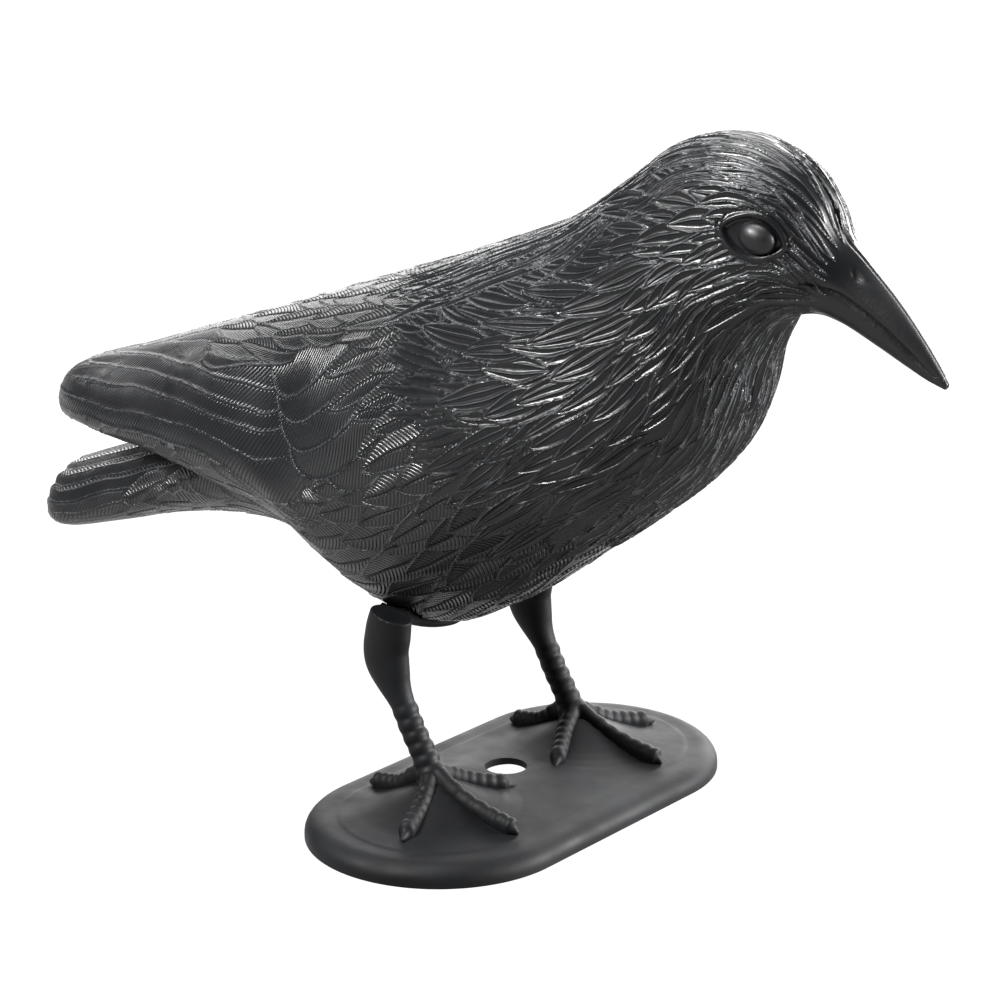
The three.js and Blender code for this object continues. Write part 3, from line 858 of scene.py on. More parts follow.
def neck_slant(place, turn):
    """The strands on the side of the neck turn up towards the back."""
    side_of_neck = ridge(turn - neck_turn, neck_turn_wide) * smooth_step(place, *neck_begins)
    side_of_neck = side_of_neck * (1 - smooth_step(place, *neck_ends))
    return neck_most * side_of_neck


turned = dict(slant=neck_slant, steps=5, loose=0.24)
strand_fields = (
    (under_strand, (6.2, 12.0), (0.07, 0.3), 12, 3.6, 30, 2.1, dict(turned, loose=0.2)),
    (throat_strand, (8.0, 12.0), (0.27, 0.5), 14, 6.2, 31, 3.4, even),
    (strand, (8.4, 11.4), (0.10, 0.29), 15, 7.8, 32, 4.3, dict(turned, steps=6)),
    (comb_strand, (7.0, 11.8), (0.0, 0.12), 17, 3.0, 42, 1.8, even),
    (throat_strand, (3.5, 8.2), (0.255, 0.5), 10, 4.2, 24, 2.4, even),
    (looped_strand, (5.7, 8.4), (0.13, 0.29), 9.5, 5.8, 21, 3.2, turned),
    (comb_strand, (3.5, 7.4), (0.0, 0.15), 13, 2.7, 32, 1.6, even),
    (face_strand, (3.5, 5.6), (0.13, 0.30), 8, 2.3, 19, 1.25, even),
)
laid = 0
for kind, places, turns, row, column, length, half_width, lie in strand_fields:
    sizes = dict(row=row, column=column, length=length, half_width=half_width)
    laid += lay_field(body_ribs, kind, places, turns, **sizes, **lie)
print("head, neck and breast:", laid, "strands")

# %% [markdown]
# The face is cut last, over the strands. The eyelids are a lens of two arcs with a rounded lip,
# a crease round it and a socket inside, in which the eye will sit. Like the mouth, the nostril
# and the slot they are drawn in the side view, as a height that follows from the distance to a
# line.

# %% Eyelids
lid_at, lid_length, lid_height, lid_tilt = (-107.6, 217.8), 20.6, 13.8, 0.27
lid_edge_width, lid_lift, socket_depth = 1.1, 0.6, 1.1
crease_depth, crease_at, crease_width = 0.3, 1.2, 0.5
strands_end, lip_outer = (-1.8, -0.5), (-0.7, 0.2)
face_from, face_beside = -90, 8


def side_view(points, at, tilt):
    """How far points lie along and above a tilted line through a place, in the side view."""
    y = points[:, 1] - at[0]
    z = points[:, 2] - at[1]
    along = y * math.cos(tilt) + z * math.sin(tilt)
    above = z * math.cos(tilt) - y * math.sin(tilt)
    return along, above


def inside_lids(points):
    """How far inside the outline of the eyelids a point lies."""
    along, up = side_view(points, lid_at, lid_tilt)
    share = np.clip(np.abs(along) / (lid_length / 2), 0, 0.999)
    half = 0.5 * lid_height * (1 - share**2) ** 0.75
    slope = 1.5 * lid_height / lid_length * share * (1 - share**2) ** -0.25
    past = np.maximum(np.abs(along) - lid_length / 2, 0)
    return np.where(past > 0, -np.hypot(past, up), (half - np.abs(up)) / np.sqrt(1 + slope**2))


head = np.flatnonzero((net_points[:, 1] < face_from) & (net_points[:, 0] > face_beside))
edge = inside_lids(net_points[head])
keep = 1 - smooth_step(edge, *strands_end)
lip_inner = 1 - smooth_step(edge, lid_edge_width - 0.5, lid_edge_width + 0.3)
lip = lid_lift * smooth_step(edge, *lip_outer) * lip_inner
crease = -crease_depth * ridge(edge + crease_at, crease_width)
socket = -socket_depth * smooth_step(edge, lid_edge_width - 0.3, lid_edge_width + 0.6)
net["height"][head] = net["height"][head] * keep + lip + crease + socket
for name in ("edge_depth", "barb_depth", "crest_depth"):
    net[name][head] *= keep
print("eyelids:", len(head), "points of the head were looked at")

# %% [markdown]
# A crow's bill is smooth horn. The strands fade out at its root over about a centimetre, because
# a sharp border would look glued on. The bare plastic there is a little duller.

# %% Bare bill
bill_tip = (-166.6, 176)
bill_rise = math.radians(47)
bill_root = (38, 50)
brow = (-120, -115)

bill_run, _ = side_view(net_points, bill_tip, bill_rise)
feathered = np.maximum(smooth_step(bill_run, *bill_root), smooth_step(net_points[:, 1], *brow))
net["height"] *= feathered
net["bare"] = 1 - feathered
for name in ("edge_depth", "crest_depth"):
    net[name] *= feathered
print("bare points of the bill:", int((net["bare"] > 0.5).sum()))

# %% [markdown]
# The mouth is a groove with the lower jaw set back below it, and it fades towards the tip of the
# bill. The net is too coarse for the sharp line at the bottom of the groove, so that line is kept
# for the material, in the same way as the shafts are.

# %% Mouth and nostril
mouth_depth, mouth_width, mouth_points = 1.2, 1.0, 80
mouth_knots = np.array([
    (-118.5, 203.8), (-125, 203.6), (-132, 201.4), (-140, 196.6),
    (-147.5, 191.4), (-155, 185.2), (-162, 179.3),
])
mouth_begins, mouth_fades, mouth_fading = (0, 0.12), (0.8, 1), 0.7
jaw_depth, jaw_edge, jaw_reach = 0.6, (-0.9, 0.3), (4, 9)
line_reach, line_most, line_depth = 8.0, 0.45, 2.2
line_fades, line_ends = (1.5, 2.6), 3
bill_from = -112

mouth_run = measured(mouth_knots)
mouth_places = np.linspace(0, 1, mouth_points) * mouth_run[-1]
mouth_line = np.stack([np.interp(mouth_places, mouth_run, column) for column in mouth_knots.T], 1)
bill = np.flatnonzero(net_points[:, 1] < bill_from)
offset = net_points[bill, None, 1:] - mouth_line[None]
distance = np.linalg.norm(offset, axis=2)
nearest = distance.argmin(1)
distance = distance.min(1)
below = offset[np.arange(len(bill)), nearest, 1] < 0
signed = np.where(below, -distance, distance)
towards_tip = nearest / mouth_points
fade = smooth_step(towards_tip, *mouth_begins)
fade = fade * (1 - mouth_fading * smooth_step(towards_tip, *mouth_fades))
jaw = -jaw_depth * (1 - smooth_step(signed, *jaw_edge)) * (1 - smooth_step(distance, *jaw_reach))
net["height"][bill] += fade * (jaw - mouth_depth * ridge(distance, mouth_width))
beside_mouth = distance < line_ends
beside = bill[beside_mouth]
dark_line = fade * (1 - smooth_step(distance, *line_fades))
net["crest"][beside] = np.clip(signed[beside_mouth] / line_reach, -line_most, line_most)
net["crest_gap"][beside] = line_reach
net["crest_depth"][beside] = -line_depth * dark_line[beside_mouth]

nostril_at, nostril_beside, nostril_bow = (-135.6, 206.9), 2, 0.06
nostril_depth, nostril_width, nostril_length = 0.9, 0.9, 2.6
along_bill, over_bill = side_view(net_points, nostril_at, bill_rise)
crescent = ridge(over_bill - nostril_bow * along_bill**2, nostril_width)
on_bill = (net_points[:, 1] < bill_from) & (net_points[:, 0] > nostril_beside)
net["height"] -= nostril_depth * crescent * ridge(along_bill, nostril_length) * on_bill
print("mouth:", round(float(mouth_run[-1]), 1), "mm long")

# %% [markdown]
# Where the halves of the mould meet, the shell keeps a groove. It is deepest on the throat and
# breast, and shallower on the bill and towards the tail. The slot in the back, by which the decoy
# may hang, is a short trench along the middle with rounded edges.

# %% Seam and slot
seam_depth, seam_width, seam_line_depth = 1.2, 0.75, 1.6
seam_line_from, seam_line_to = 0.8, 1.4
rear_reach, rear_less = (-40, 20), 0.55
bill_reach, bill_less = (-135, -120), 0.7

on_rear = smooth_step(net_points[:, 1], *rear_reach)
before_brow = 1 - smooth_step(net_points[:, 1], *bill_reach)
seam_share = 1 - rear_less * on_rear - bill_less * before_brow
net["height"] -= seam_depth * seam_share * ridge(net_points[:, 0], seam_width)
beside_seam = np.flatnonzero(net_points[:, 0] < seam_line_to)
seam_line = seam_share * (1 - smooth_step(net_points[:, 0], seam_line_from, seam_line_to))
net["crest"][beside_seam] = net_points[beside_seam, 0] / line_reach
net["crest_gap"][beside_seam] = line_reach
net["crest_depth"][beside_seam] = -seam_line_depth * seam_line[beside_seam]

slot_at, slot_tilt = (-11, 205.4), -0.45
slot_length, slot_width, slot_depth = 13, 3.4, 4.5
slot_wall, slot_round, slot_round_reach = (-0.5, 0.1), 1.5, 2.8
slot_run, _ = side_view(net_points, slot_at, slot_tilt)
past_end = np.maximum(np.abs(slot_run) - (slot_length - slot_width) / 2, 0)
from_slot = np.hypot(past_end, net_points[:, 0]) - slot_width / 2
on_back = net_normals[:, 2] > 0.4
trench = slot_depth * (1 - smooth_step(from_slot, *slot_wall))
rounding = slot_round * (1 - smooth_step(from_slot, 0, slot_round_reach))
net["height"] -= (trench + rounding) * on_back
print("seam and slot are cut")

# %% [markdown]
# Up to here nothing has moved: the net only holds heights. Now each point goes out or in along
# the skin's own direction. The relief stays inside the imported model's box and on its own side of
# the seam. The other values go with the mesh, as named attributes that a material can read.

# %% Press the relief into the skin
inside_box = 0.05

relief = net_points + net_normals * net["height"][:, None]
box_low = np.array(cad_box[0]) / mm - stand_middle + inside_box
box_high = np.array(cad_box[1]) / mm - stand_middle - inside_box
relief = np.clip(relief, box_low, box_high)
relief[:, 0] = np.maximum(relief[:, 0], 0)
carved = np.empty_like(relief)
carved[order] = relief
write_points(bird_skin, carved)
for name, values in net.items():
    layer = bird_skin.data.attributes.new(name, "FLOAT", "POINT")
    back = np.empty(len(order), np.float32)
    back[order] = values
    layer.data.foreach_set("value", back)
print("relief:", net["height"].min().round(2), "to", net["height"].max().round(2), "mm")

# %% [markdown]
# Both plastics are built from the same few nodes: clouds of noise, a number mapped to another
# range, a little arithmetic, a bump for what is finer than the faces, and a mix of two shades.
# Small helpers keep each material as short as its recipe.

# %% Helpers for materials
def new_material(name, colour, roughness):
    """A plain plastic with its shader, ready for detail."""
    material = bpy.data.materials.new(name)
    material.use_nodes = True
    shader = material.node_tree.nodes["Principled BSDF"]
    shader.inputs["Base Color"].default_value = (*colour, 1)
    shader.inputs["Roughness"].default_value = roughness
    return material, material.node_tree, shader


def math_node(tree, operation, first, second=None, third=None):
    """One step of arithmetic. Each input is a number or another node's output."""
    node = tree.nodes.new("ShaderNodeMath")
    node.operation = operation
    for slot, value in enumerate((first, second, third)):
        if value is None:
            continue
        if isinstance(value, (int, float)):
            node.inputs[slot].default_value = value
        else:
            tree.links.new(value, node.inputs[slot])
    return node.outputs[0]


def reading(tree, name):
    """A value that the net holds for each of its points."""
    node = tree.nodes.new("ShaderNodeAttribute")
    node.attribute_name = name
    return node.outputs["Fac"]


def noise(tree, scale, detail, roughness=0.5):
    """Cloudy noise on the piece's own coordinates."""
    place = tree.nodes.new("ShaderNodeTexCoord")
    node = tree.nodes.new("ShaderNodeTexNoise")
    node.inputs["Scale"].default_value = scale
    node.inputs["Detail"].default_value = detail
    node.inputs["Roughness"].default_value = roughness
    tree.links.new(place.outputs["Object"], node.inputs["Vector"])
    return node.outputs["Fac"]


def mapped(tree, value, old_range, new_range):
    """A value moved from one range to another."""
    node = tree.nodes.new("ShaderNodeMapRange")
    node.inputs["From Min"].default_value = old_range[0]
    node.inputs["From Max"].default_value = old_range[1]
    node.inputs["To Min"].default_value = new_range[0]
    node.inputs["To Max"].default_value = new_range[1]
    tree.links.new(value, node.inputs["Value"])
    return node.outputs["Result"]


def line_profile(tree, distance, centre, width):
    """A soft ridge over a distance, as ridge() is for the net."""
    off = math_node(tree, "SUBTRACT", distance, centre)
    share = math_node(tree, "DIVIDE", off, width)
    square = math_node(tree, "MULTIPLY", share, share)
    return math_node(tree, "EXPONENT", math_node(tree, "MULTIPLY", square, -1.0))


def add_bump(tree, shader, height):
    """Raises the surface by a height in mm, as the light sees it."""
    bump = tree.nodes.new("ShaderNodeBump")
    bump.inputs["Strength"].default_value = 1.0
    bump.inputs["Distance"].default_value = mm
    tree.links.new(height, bump.inputs["Height"])
    tree.links.new(bump.outputs["Normal"], shader.inputs["Normal"])


def mix_shades(tree, shader, share, dark, light):
    """Colours the surface between a dark and a light shade."""
    shade = tree.nodes.new("ShaderNodeMix")
    shade.data_type = "RGBA"
    shade.inputs["A"].default_value = (*dark, 1)
    shade.inputs["B"].default_value = (*light, 1)
    tree.links.new(share, shade.inputs["Factor"])
    tree.links.new(shade.outputs["Result"], shader.inputs["Base Color"])


print("helpers for materials are ready")

# %% [markdown]
# The bird's plastic is black with a satin sheen. What tells it from paint is in the small things:
# the barbs of each feather, the crisp raised rims, a slightly uneven gloss and a fine grain. The
# net holds each point's place in its feather, so the material can draw the barbs and rims finer
# than the net's own faces, and they follow every feather.

# %% Relief of the bird's plastic
barb_height, barb_sharpness = 0.3, 1.5
rim_height, rim_centre, rim_width = 0.36, 0.25, 0.26
shaft_height, shaft_width = 0.42, 0.3
grain_height, scratch_height = 0.012, 0.14

crow_black, tree, shader = new_material("satin_black_plastic", (0.005, 0.0052, 0.0058), 0.36)
turns = math_node(tree, "MULTIPLY", reading(tree, "barb"), full_turn)
wave = math_node(tree, "MULTIPLY_ADD", math_node(tree, "COSINE", turns), 0.5, 0.5)
wave = math_node(tree, "POWER", wave, barb_sharpness)
barbs = math_node(tree, "MULTIPLY", wave, reading(tree, "barb_depth"))
rim = line_profile(tree, reading(tree, "edge"), rim_centre, rim_width)
rims = math_node(tree, "MULTIPLY", rim, reading(tree, "edge_depth"))
nearest_crest = math_node(tree, "PINGPONG", reading(tree, "crest"), 0.5)
off_crest = math_node(tree, "MULTIPLY", nearest_crest, reading(tree, "crest_gap"))
shaft = line_profile(tree, off_crest, 0.0, shaft_width)
shafts = math_node(tree, "MULTIPLY", shaft, reading(tree, "crest_depth"))
grain = noise(tree, scale=2600, detail=3)
scratches = noise(tree, scale=420, detail=4, roughness=0.7)
scratches = math_node(tree, "MULTIPLY", scratches, reading(tree, "bare"))
height = math_node(tree, "MULTIPLY", barbs, barb_height)
layers = (
    (scratches, scratch_height), (rims, rim_height), (shafts, shaft_height), (grain, grain_height),
)
for layer, layer_height in layers:
    height = math_node(tree, "MULTIPLY_ADD", layer, layer_height, height)
add_bump(tree, shader, height)
print("relief of the plastic:", len(layers) + 1, "layers")

# %% [markdown]
# The rims, the shafts and a little of the barbs are painted lighter, in cloudy patches. This is a painted
# highlight along the crests, and partly stands for plastic rubbed pale by hands and weather. Between
# them the plastic keeps its own black. The gloss is cloudy, duller on the bare bill and dullest in
# the grooves, where dust stays.

# %% Painted crest highlights and gloss of the bird's plastic
barb_highlight, highlight_fall = 0.3, 1.7
crow_valley = (0.0035, 0.0037, 0.0042)
# Pale grey of the painted highlight on the crests
crow_crest_highlight = (0.055, 0.057, 0.061)
bare_dullness, groove_dullness = 0.14, 0.35

# Painted highlight: rims, shafts and a third of the barbs lighten the base colour, partly as rubbed wear
crest_highlight = math_node(tree, "MULTIPLY_ADD", barbs, barb_highlight, rims)
crest_highlight = math_node(tree, "ADD", crest_highlight, math_node(tree, "MAXIMUM", shafts, 0.0))
patches = mapped(tree, noise(tree, scale=45, detail=3), (0.35, 0.65), (0.45, 1.0))
crest_highlight = math_node(tree, "MINIMUM", math_node(tree, "MULTIPLY", crest_highlight, patches), 1.0)
crest_highlight = math_node(tree, "POWER", crest_highlight, highlight_fall)
mix_shades(tree, shader, crest_highlight, crow_valley, crow_crest_highlight)
gloss = mapped(tree, noise(tree, scale=60, detail=4), (0.3, 0.7), (0.25, 0.34))
gloss = math_node(tree, "MULTIPLY_ADD", reading(tree, "bare"), bare_dullness, gloss)
grooves = math_node(tree, "MINIMUM", shafts, 0.0)
gloss = math_node(tree, "MULTIPLY_ADD", grooves, -groove_dullness, gloss)
tree.links.new(gloss, shader.inputs["Roughness"])
shader.inputs["Specular IOR Level"].default_value = 0.28
print("nodes of the bird's plastic:", len(tree.nodes))

# %% [markdown]
# The half is now divided into a fore and a rear part of about the same number of faces, so that
# no piece is too heavy to handle, and each is closed with flat caps where it was cut. Every point
# keeps the direction that it had on the whole skin, so the joint between the parts can't be
# seen.

# %% Close the half and keep its directions
wall_within = 0.001

whole_normals = read_vectors(bird_skin.data.vertex_normals, "vector")
whole_normals[on_seam, 0] = 0
normal_layer = bird_skin.data.attributes.new("whole_way", "FLOAT_VECTOR", "POINT")
normal_layer.data.foreach_set("vector", whole_normals.ravel())
select_only(bird_skin)
bpy.ops.object.shade_smooth()
bird_skin.data.materials.append(crow_black)
divide_at = float(np.median(half_points[:, 1]))


def close_half(piece):
    """Closes the half along the middle with a flat wall."""
    select_only(piece)
    bpy.ops.object.mode_set(mode="EDIT")
    bpy.ops.mesh.select_mode(type="EDGE")
    bpy.ops.mesh.select_all(action="DESELECT")
    bpy.ops.mesh.select_non_manifold()
    bpy.ops.mesh.fill()
    bpy.ops.mesh.select_all(action="SELECT")
    bpy.ops.mesh.normals_make_consistent(inside=False)
    bpy.ops.object.mode_set(mode="OBJECT")


def set_normals(piece, mirrored):
    """Gives each corner its direction on the whole skin, and on the flat walls that of the wall."""
    mesh = piece.data
    ways = read_vectors(mesh.attributes["whole_way"].data, "vector")
    if mirrored:
        ways[:, 0] *= -1
    corners = np.empty(len(mesh.loops), np.int32)
    mesh.loops.foreach_get("vertex_index", corners)
    first = np.empty(len(mesh.polygons), np.int32)
    mesh.polygons.foreach_get("loop_start", first)
    flat_ways = read_vectors(mesh.polygons, "normal")
    points = read_points(piece)
    wall = np.zeros(len(first), bool)
    for off_plane in (np.abs(points[:, 0]), np.abs(points[:, 1] - divide_at)):
        wall |= np.logical_and.reduceat((off_plane < wall_within)[corners], first)
    sizes = np.diff(np.append(first, len(corners)))
    on_wall = np.repeat(wall, sizes)
    corner_ways = ways[corners]
    corner_ways[on_wall] = np.repeat(flat_ways, sizes, axis=0)[on_wall]
    mesh.normals_split_custom_set(corner_ways)
    mesh.attributes.remove(mesh.attributes["whole_way"])


close_half(bird_skin)
print("the half is closed, and will be divided at y =", round(divide_at, 1), "mm")

# %% [markdown]
# Each quarter of the shell is a copy of the closed half, cut by the dividing plane. The bisect
# fills the cut with a flat wall. For the right side the points change sides, and the faces are
# turned about so that they look outwards again.

# %% Divide the shell into its pieces
def shell_part(name, fore, mirrored):
    """One quarter of the shell: fore or rear, left or right."""
    select_only(bird_skin)
    bpy.ops.object.duplicate()
    part = bpy.context.object
    part.name = name
    divide_y = (divide_at + stand_middle[1]) * mm
    bpy.ops.object.mode_set(mode="EDIT")
    bpy.ops.mesh.select_all(action="SELECT")
    bpy.ops.mesh.bisect(
        plane_co=(0, divide_y, 0), plane_no=(0, 1, 0), use_fill=True,
        clear_outer=fore, clear_inner=not fore,
    )
    bpy.ops.mesh.quads_convert_to_tris()
    bpy.ops.object.mode_set(mode="OBJECT")
    if mirrored:
        points = read_points(part)
        points[:, 0] *= -1
        write_points(part, points)
        bpy.ops.object.mode_set(mode="EDIT")
        bpy.ops.mesh.select_all(action="SELECT")
        bpy.ops.mesh.normals_make_consistent(inside=False)
        bpy.ops.object.mode_set(mode="OBJECT")
    set_normals(part, mirrored)
    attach(part, "root")
    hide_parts("crow_body")
    return part


for side, mirrored in (("left", False), ("right", True)):
    for end, fore in (("fore", True), ("rear", False)):
        part = shell_part(f"crow_{end}_{side}", fore, mirrored)
        print(part.name, len(part.data.polygons), "faces")
bpy.data.objects.remove(bird_skin)

# %% [markdown]
# The eyes look like glossy beads behind the lids. On the real decoy they are cast with the head.
# Here each is a ball of its own, drawn out and tilted as the lids are, because a ball is rounder
# than the skin's net could be there, and can be glossier than the feathers.

# %% Eyes
eye_gloss, tree, shader = new_material("eye_plastic", (0.004, 0.0042, 0.0048), 0.3)
eye_haze = mapped(tree, noise(tree, scale=300, detail=3), (0.35, 0.65), (0.36, 0.46))
shader.inputs["Specular IOR Level"].default_value = 0.3
tree.links.new(eye_haze, shader.inputs["Roughness"])
eye_at = (18.2, -108.0, 217.2)
eye_size = (4.7, 6.8, 5.0)
eye_segments, eye_rings = 48, 32
for side, sign in (("left", 1), ("right", -1)):
    bpy.ops.object.select_all(action="DESELECT")
    bpy.ops.mesh.primitive_uv_sphere_add(
        segments=eye_segments, ring_count=eye_rings, radius=mm,
    )
    eye = bpy.context.object
    eye.name = f"crow_eye_{side}"
    ball = np.array([v.co for v in eye.data.vertices]) / mm * eye_size
    forward = ball[:, 1] * math.cos(lid_tilt) - ball[:, 2] * math.sin(lid_tilt)
    upward = ball[:, 1] * math.sin(lid_tilt) + ball[:, 2] * math.cos(lid_tilt)
    write_points(eye, np.stack([ball[:, 0], forward, upward], 1) + np.array(eye_at) * (sign, 1, 1))
    bpy.ops.object.shade_smooth()
    eye.data.materials.append(eye_gloss)
    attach(eye, "root")
    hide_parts("crow_body")
print("eyes are set")

# %% [markdown]
# The stand is a thin crowned plate with a rounded shoulder, open below, with a round hole in it.
# The plate swells up under each foot. The height of each point follows from its place: how far in
# from the outline it is, and how near to a foot.

# %% Outline and heights of the plate
plate_length, plate_width, plate_height = 175.5, 93, 7.5
plate_shoulder, plate_lip, plate_wall, plate_crown = 7, 1.8, 2.4, 2.6
hole_across, hole_at = 15, 5
plate_middle, hollow_top = 38, 7.7
step_height, step_rises = 0.25, (10.5, 12.5)
leg_spread = 39
mound_at = (leg_spread, 2)
mound_rises = (6, 14)
mound_reach = (0, 4, 8, 12, 16, 20, 24, 28)
mound_heights = (8.6, 8.0, 6.2, 4.3, 2.7, 1.4, 0.5, 0)
hollow_shoulder = plate_shoulder + 1.2
plate_columns = 288
plate_radius = plate_width / 2
plate_straight = (plate_length - plate_width) / 2


def plate_ring(inset):
    """Points evenly round the stand's outline, moved in from it."""
    half_turn = math.pi * plate_radius
    whole = 2 * half_turn + 4 * plate_straight
    run = (np.arange(plate_columns) + 0.5) / plate_columns * whole
    right = np.clip(run / half_turn, 0, 1) * math.pi - math.pi / 2
    left = np.clip((run - half_turn - 2 * plate_straight) / half_turn, 0, 1) * math.pi + math.pi / 2
    turn = np.where(run < half_turn + 2 * plate_straight, right, left)
    over_top = np.clip(run - half_turn, 0, 2 * plate_straight)
    under = np.clip(run - 2 * half_turn - 2 * plate_straight, 0, 2 * plate_straight)
    middle = plate_straight - over_top + under
    reach = plate_radius - inset
    return np.stack([middle + reach * np.cos(turn), reach * np.sin(turn)], -1)


def plate_top(inset, across):
    """Height of the plate's upper face."""
    on_shoulder = np.clip(inset / plate_shoulder, 0, 1)
    rise = plate_lip + (plate_height - plate_lip) * np.sqrt(1 - (1 - on_shoulder) ** 2)
    crown = plate_crown * smooth_step(inset, plate_shoulder, plate_middle)
    step = step_height * smooth_step(inset, *step_rises)
    from_foot = np.hypot(np.abs(across[:, 0]) - mound_at[0], across[:, 1] - mound_at[1])
    swelling = np.interp(from_foot, mound_reach, mound_heights)
    return rise + crown - step_height + step + swelling * smooth_step(inset, *mound_rises)


def plate_below(inset):
    """Height of the hollow below the plate."""
    places = [plate_wall, hollow_shoulder, plate_middle]
    return np.interp(inset, places, [plate_lip, plate_height - plate_wall, hollow_top])


def inset_at(flat):
    """How far in from the outline points lie, seen from above."""
    past_straight = np.maximum(np.abs(flat[:, 0]) - plate_straight, 0)
    return plate_radius - np.hypot(past_straight, flat[:, 1])


print("plate:", plate_length, "by", plate_width, "mm, with a hole of", hole_across, "mm")

# %% [markdown]
# The plate's skin is drawn as rings that run in from the outer edge, over the shoulder and the
# crown to the hole, and back below it. The first rings are offsets of the outline. The next ones
# change over, bit by bit, to the circle of the hole.

# %% Rings of the plate
shoulder_rings, ring_step, change_from = 9, 0.5, 16
change_rings, hollow_shares, hollow_inset = 40, (1.0, 0.6, 0.3, 0.0), 12

outline_ring = plate_ring(0)
hole_turn = np.unwrap(np.arctan2(outline_ring[:, 1] - hole_at, outline_ring[:, 0]))
hole_ring = np.stack([np.cos(hole_turn), np.sin(hole_turn)], -1) * hole_across / 2 + (0, hole_at)
last_offset = plate_ring(change_from)
shoulder_turns = np.linspace(0, math.pi / 2, shoulder_rings)
shoulder_insets = plate_shoulder * (1 - np.cos(shoulder_turns))
top_insets = np.arange(plate_shoulder + 1, change_from + 0.1, ring_step)
ground = np.zeros(plate_columns)


def changing_ring(share):
    """A ring between the last offset, 0, and the circle of the hole, 1."""
    return last_offset * (1 - share) + hole_ring * share


rings = [np.column_stack([outline_ring, ground])]
for inset in (*shoulder_insets, *top_insets):
    flat = plate_ring(inset)
    rings.append(np.column_stack([flat, plate_top(np.full(plate_columns, inset), flat)]))
for share in np.linspace(0, 1, change_rings + 1)[1:]:
    flat = changing_ring(share)
    rings.append(np.column_stack([flat, plate_top(inset_at(flat), flat)]))
for share in hollow_shares:
    flat = changing_ring(share)
    rings.append(np.column_stack([flat, plate_below(inset_at(flat))]))
for inset in (hollow_inset, hollow_shoulder, plate_wall):
    flat = plate_ring(inset)
    rings.append(np.column_stack([flat, plate_below(np.full(plate_columns, inset))]))
rings.append(np.column_stack([plate_ring(plate_wall), ground]))
rings.append(rings[0])
rings = np.array(rings)
print("rings of the plate:", len(rings))

# %% [markdown]
# Rings become a skin as the ribs did, with a grid that is rolled up. The first and last ring of
# the plate are the same, so its skin closes like a bent pipe. A leg or a toe has two ends, and
# those are filled.

# %% Skin over rings
def tube_of_rings(name, rings, closed_ends):
    """A skin over a stack of rings with the same number of points in each."""
    count, columns = rings.shape[:2]
    bpy.ops.object.select_all(action="DESELECT")
    bpy.ops.mesh.primitive_grid_add(x_subdivisions=columns, y_subdivisions=count - 1, size=1)
    skin = bpy.context.object
    skin.name = name
    flat = np.array([v.co for v in skin.data.vertices]) + 0.5
    column = np.round(flat[:, 0] * columns).astype(int) % columns
    row = np.round(flat[:, 1] * (count - 1)).astype(int)
    write_points(skin, rings[row, column])
    bpy.ops.object.mode_set(mode="EDIT")
    bpy.ops.mesh.select_all(action="SELECT")
    bpy.ops.mesh.remove_doubles(threshold=one_point)
    if closed_ends:
        bpy.ops.mesh.fill_holes(sides=0)
        bpy.ops.mesh.select_all(action="SELECT")
    bpy.ops.mesh.normals_make_consistent(inside=False)
    bpy.ops.object.mode_set(mode="OBJECT")
    return skin


plate = tube_of_rings("stand_plate", rings, closed_ends=False)
print("plate:", len(plate.data.polygons), "faces")

# %% [markdown]
# A leg is a tube along a smooth path, thick and flat-topped at the thigh, with ring scutes on the
# shank. The four toes of a foot are thinner tubes with scutes above and a claw at the end. By
# hand each would be a cylinder, extruded and scaled along the path. A function does the same
# with the half sizes of the section at each step.

# %% Tubes along a path
def tube_along(name, knots, half_sizes, sides, steps):
    """A tube whose section has the given half sizes, sideways and upwards, along a smooth path."""
    knots = np.array(knots, float)
    shares = np.linspace(0, 1, steps + 1)
    places = shares * (len(knots) - 1)
    centre = rib_at(knots, places)
    forward = np.gradient(centre, axis=0)
    forward /= np.linalg.norm(forward, axis=1)[:, None]
    side = np.cross((0, 0, 1), forward)
    weak = np.linalg.norm(side, axis=1) < 0.3
    side[weak] = (1, 0, 0)
    side /= np.linalg.norm(side, axis=1)[:, None]
    up = np.cross(forward, side)
    angle = np.arange(sides) / sides * 2 * math.pi
    half_side, half_up = half_sizes(shares, angle)
    sideways = (np.cos(angle)[None, :] * half_side)[..., None]
    upwards = (np.sin(angle)[None, :] * half_up)[..., None]
    rings = centre[:, None] + side[:, None] * sideways + up[:, None] * upwards
    return tube_of_rings(name, rings, closed_ends=True)


def scute_wave(turns):
    """Height of overlapping scutes: each swells slowly and ends in a short step."""
    share = turns % 1
    return np.sin(share * math.pi) ** 0.8


print("tubes are ready to be drawn")

# %% [markdown]
# The leg's path is given in the side view, from the top of the thigh down to the foot. The thigh
# is taller than wide and narrows to the knee. The scutes of the shank stand out most in front.

# %% Legs
leg_path = (
    (23.5, 73), (25, 66), (26, 58), (23, 49.5), (18.6, 41.5),
    (14.4, 33.5), (10, 26.5), (6.5, 20), (4.5, 14),
)
leg_sides, leg_steps = 48, 220
shank_radius, scute_count, scute_depth, scute_inset = 4.2, 6, 0.8, 0.25
scute_mean, scute_front = 0.75, 0.25
knee_begin, knee_end, shank_end = 0.26, 0.50, 0.90
thigh_wider, thigh_taller = 1.6, 4.8
ankle_wider, ankle_taller = 1.2, 1.4
top_less, top_end = 0.1, 0.13


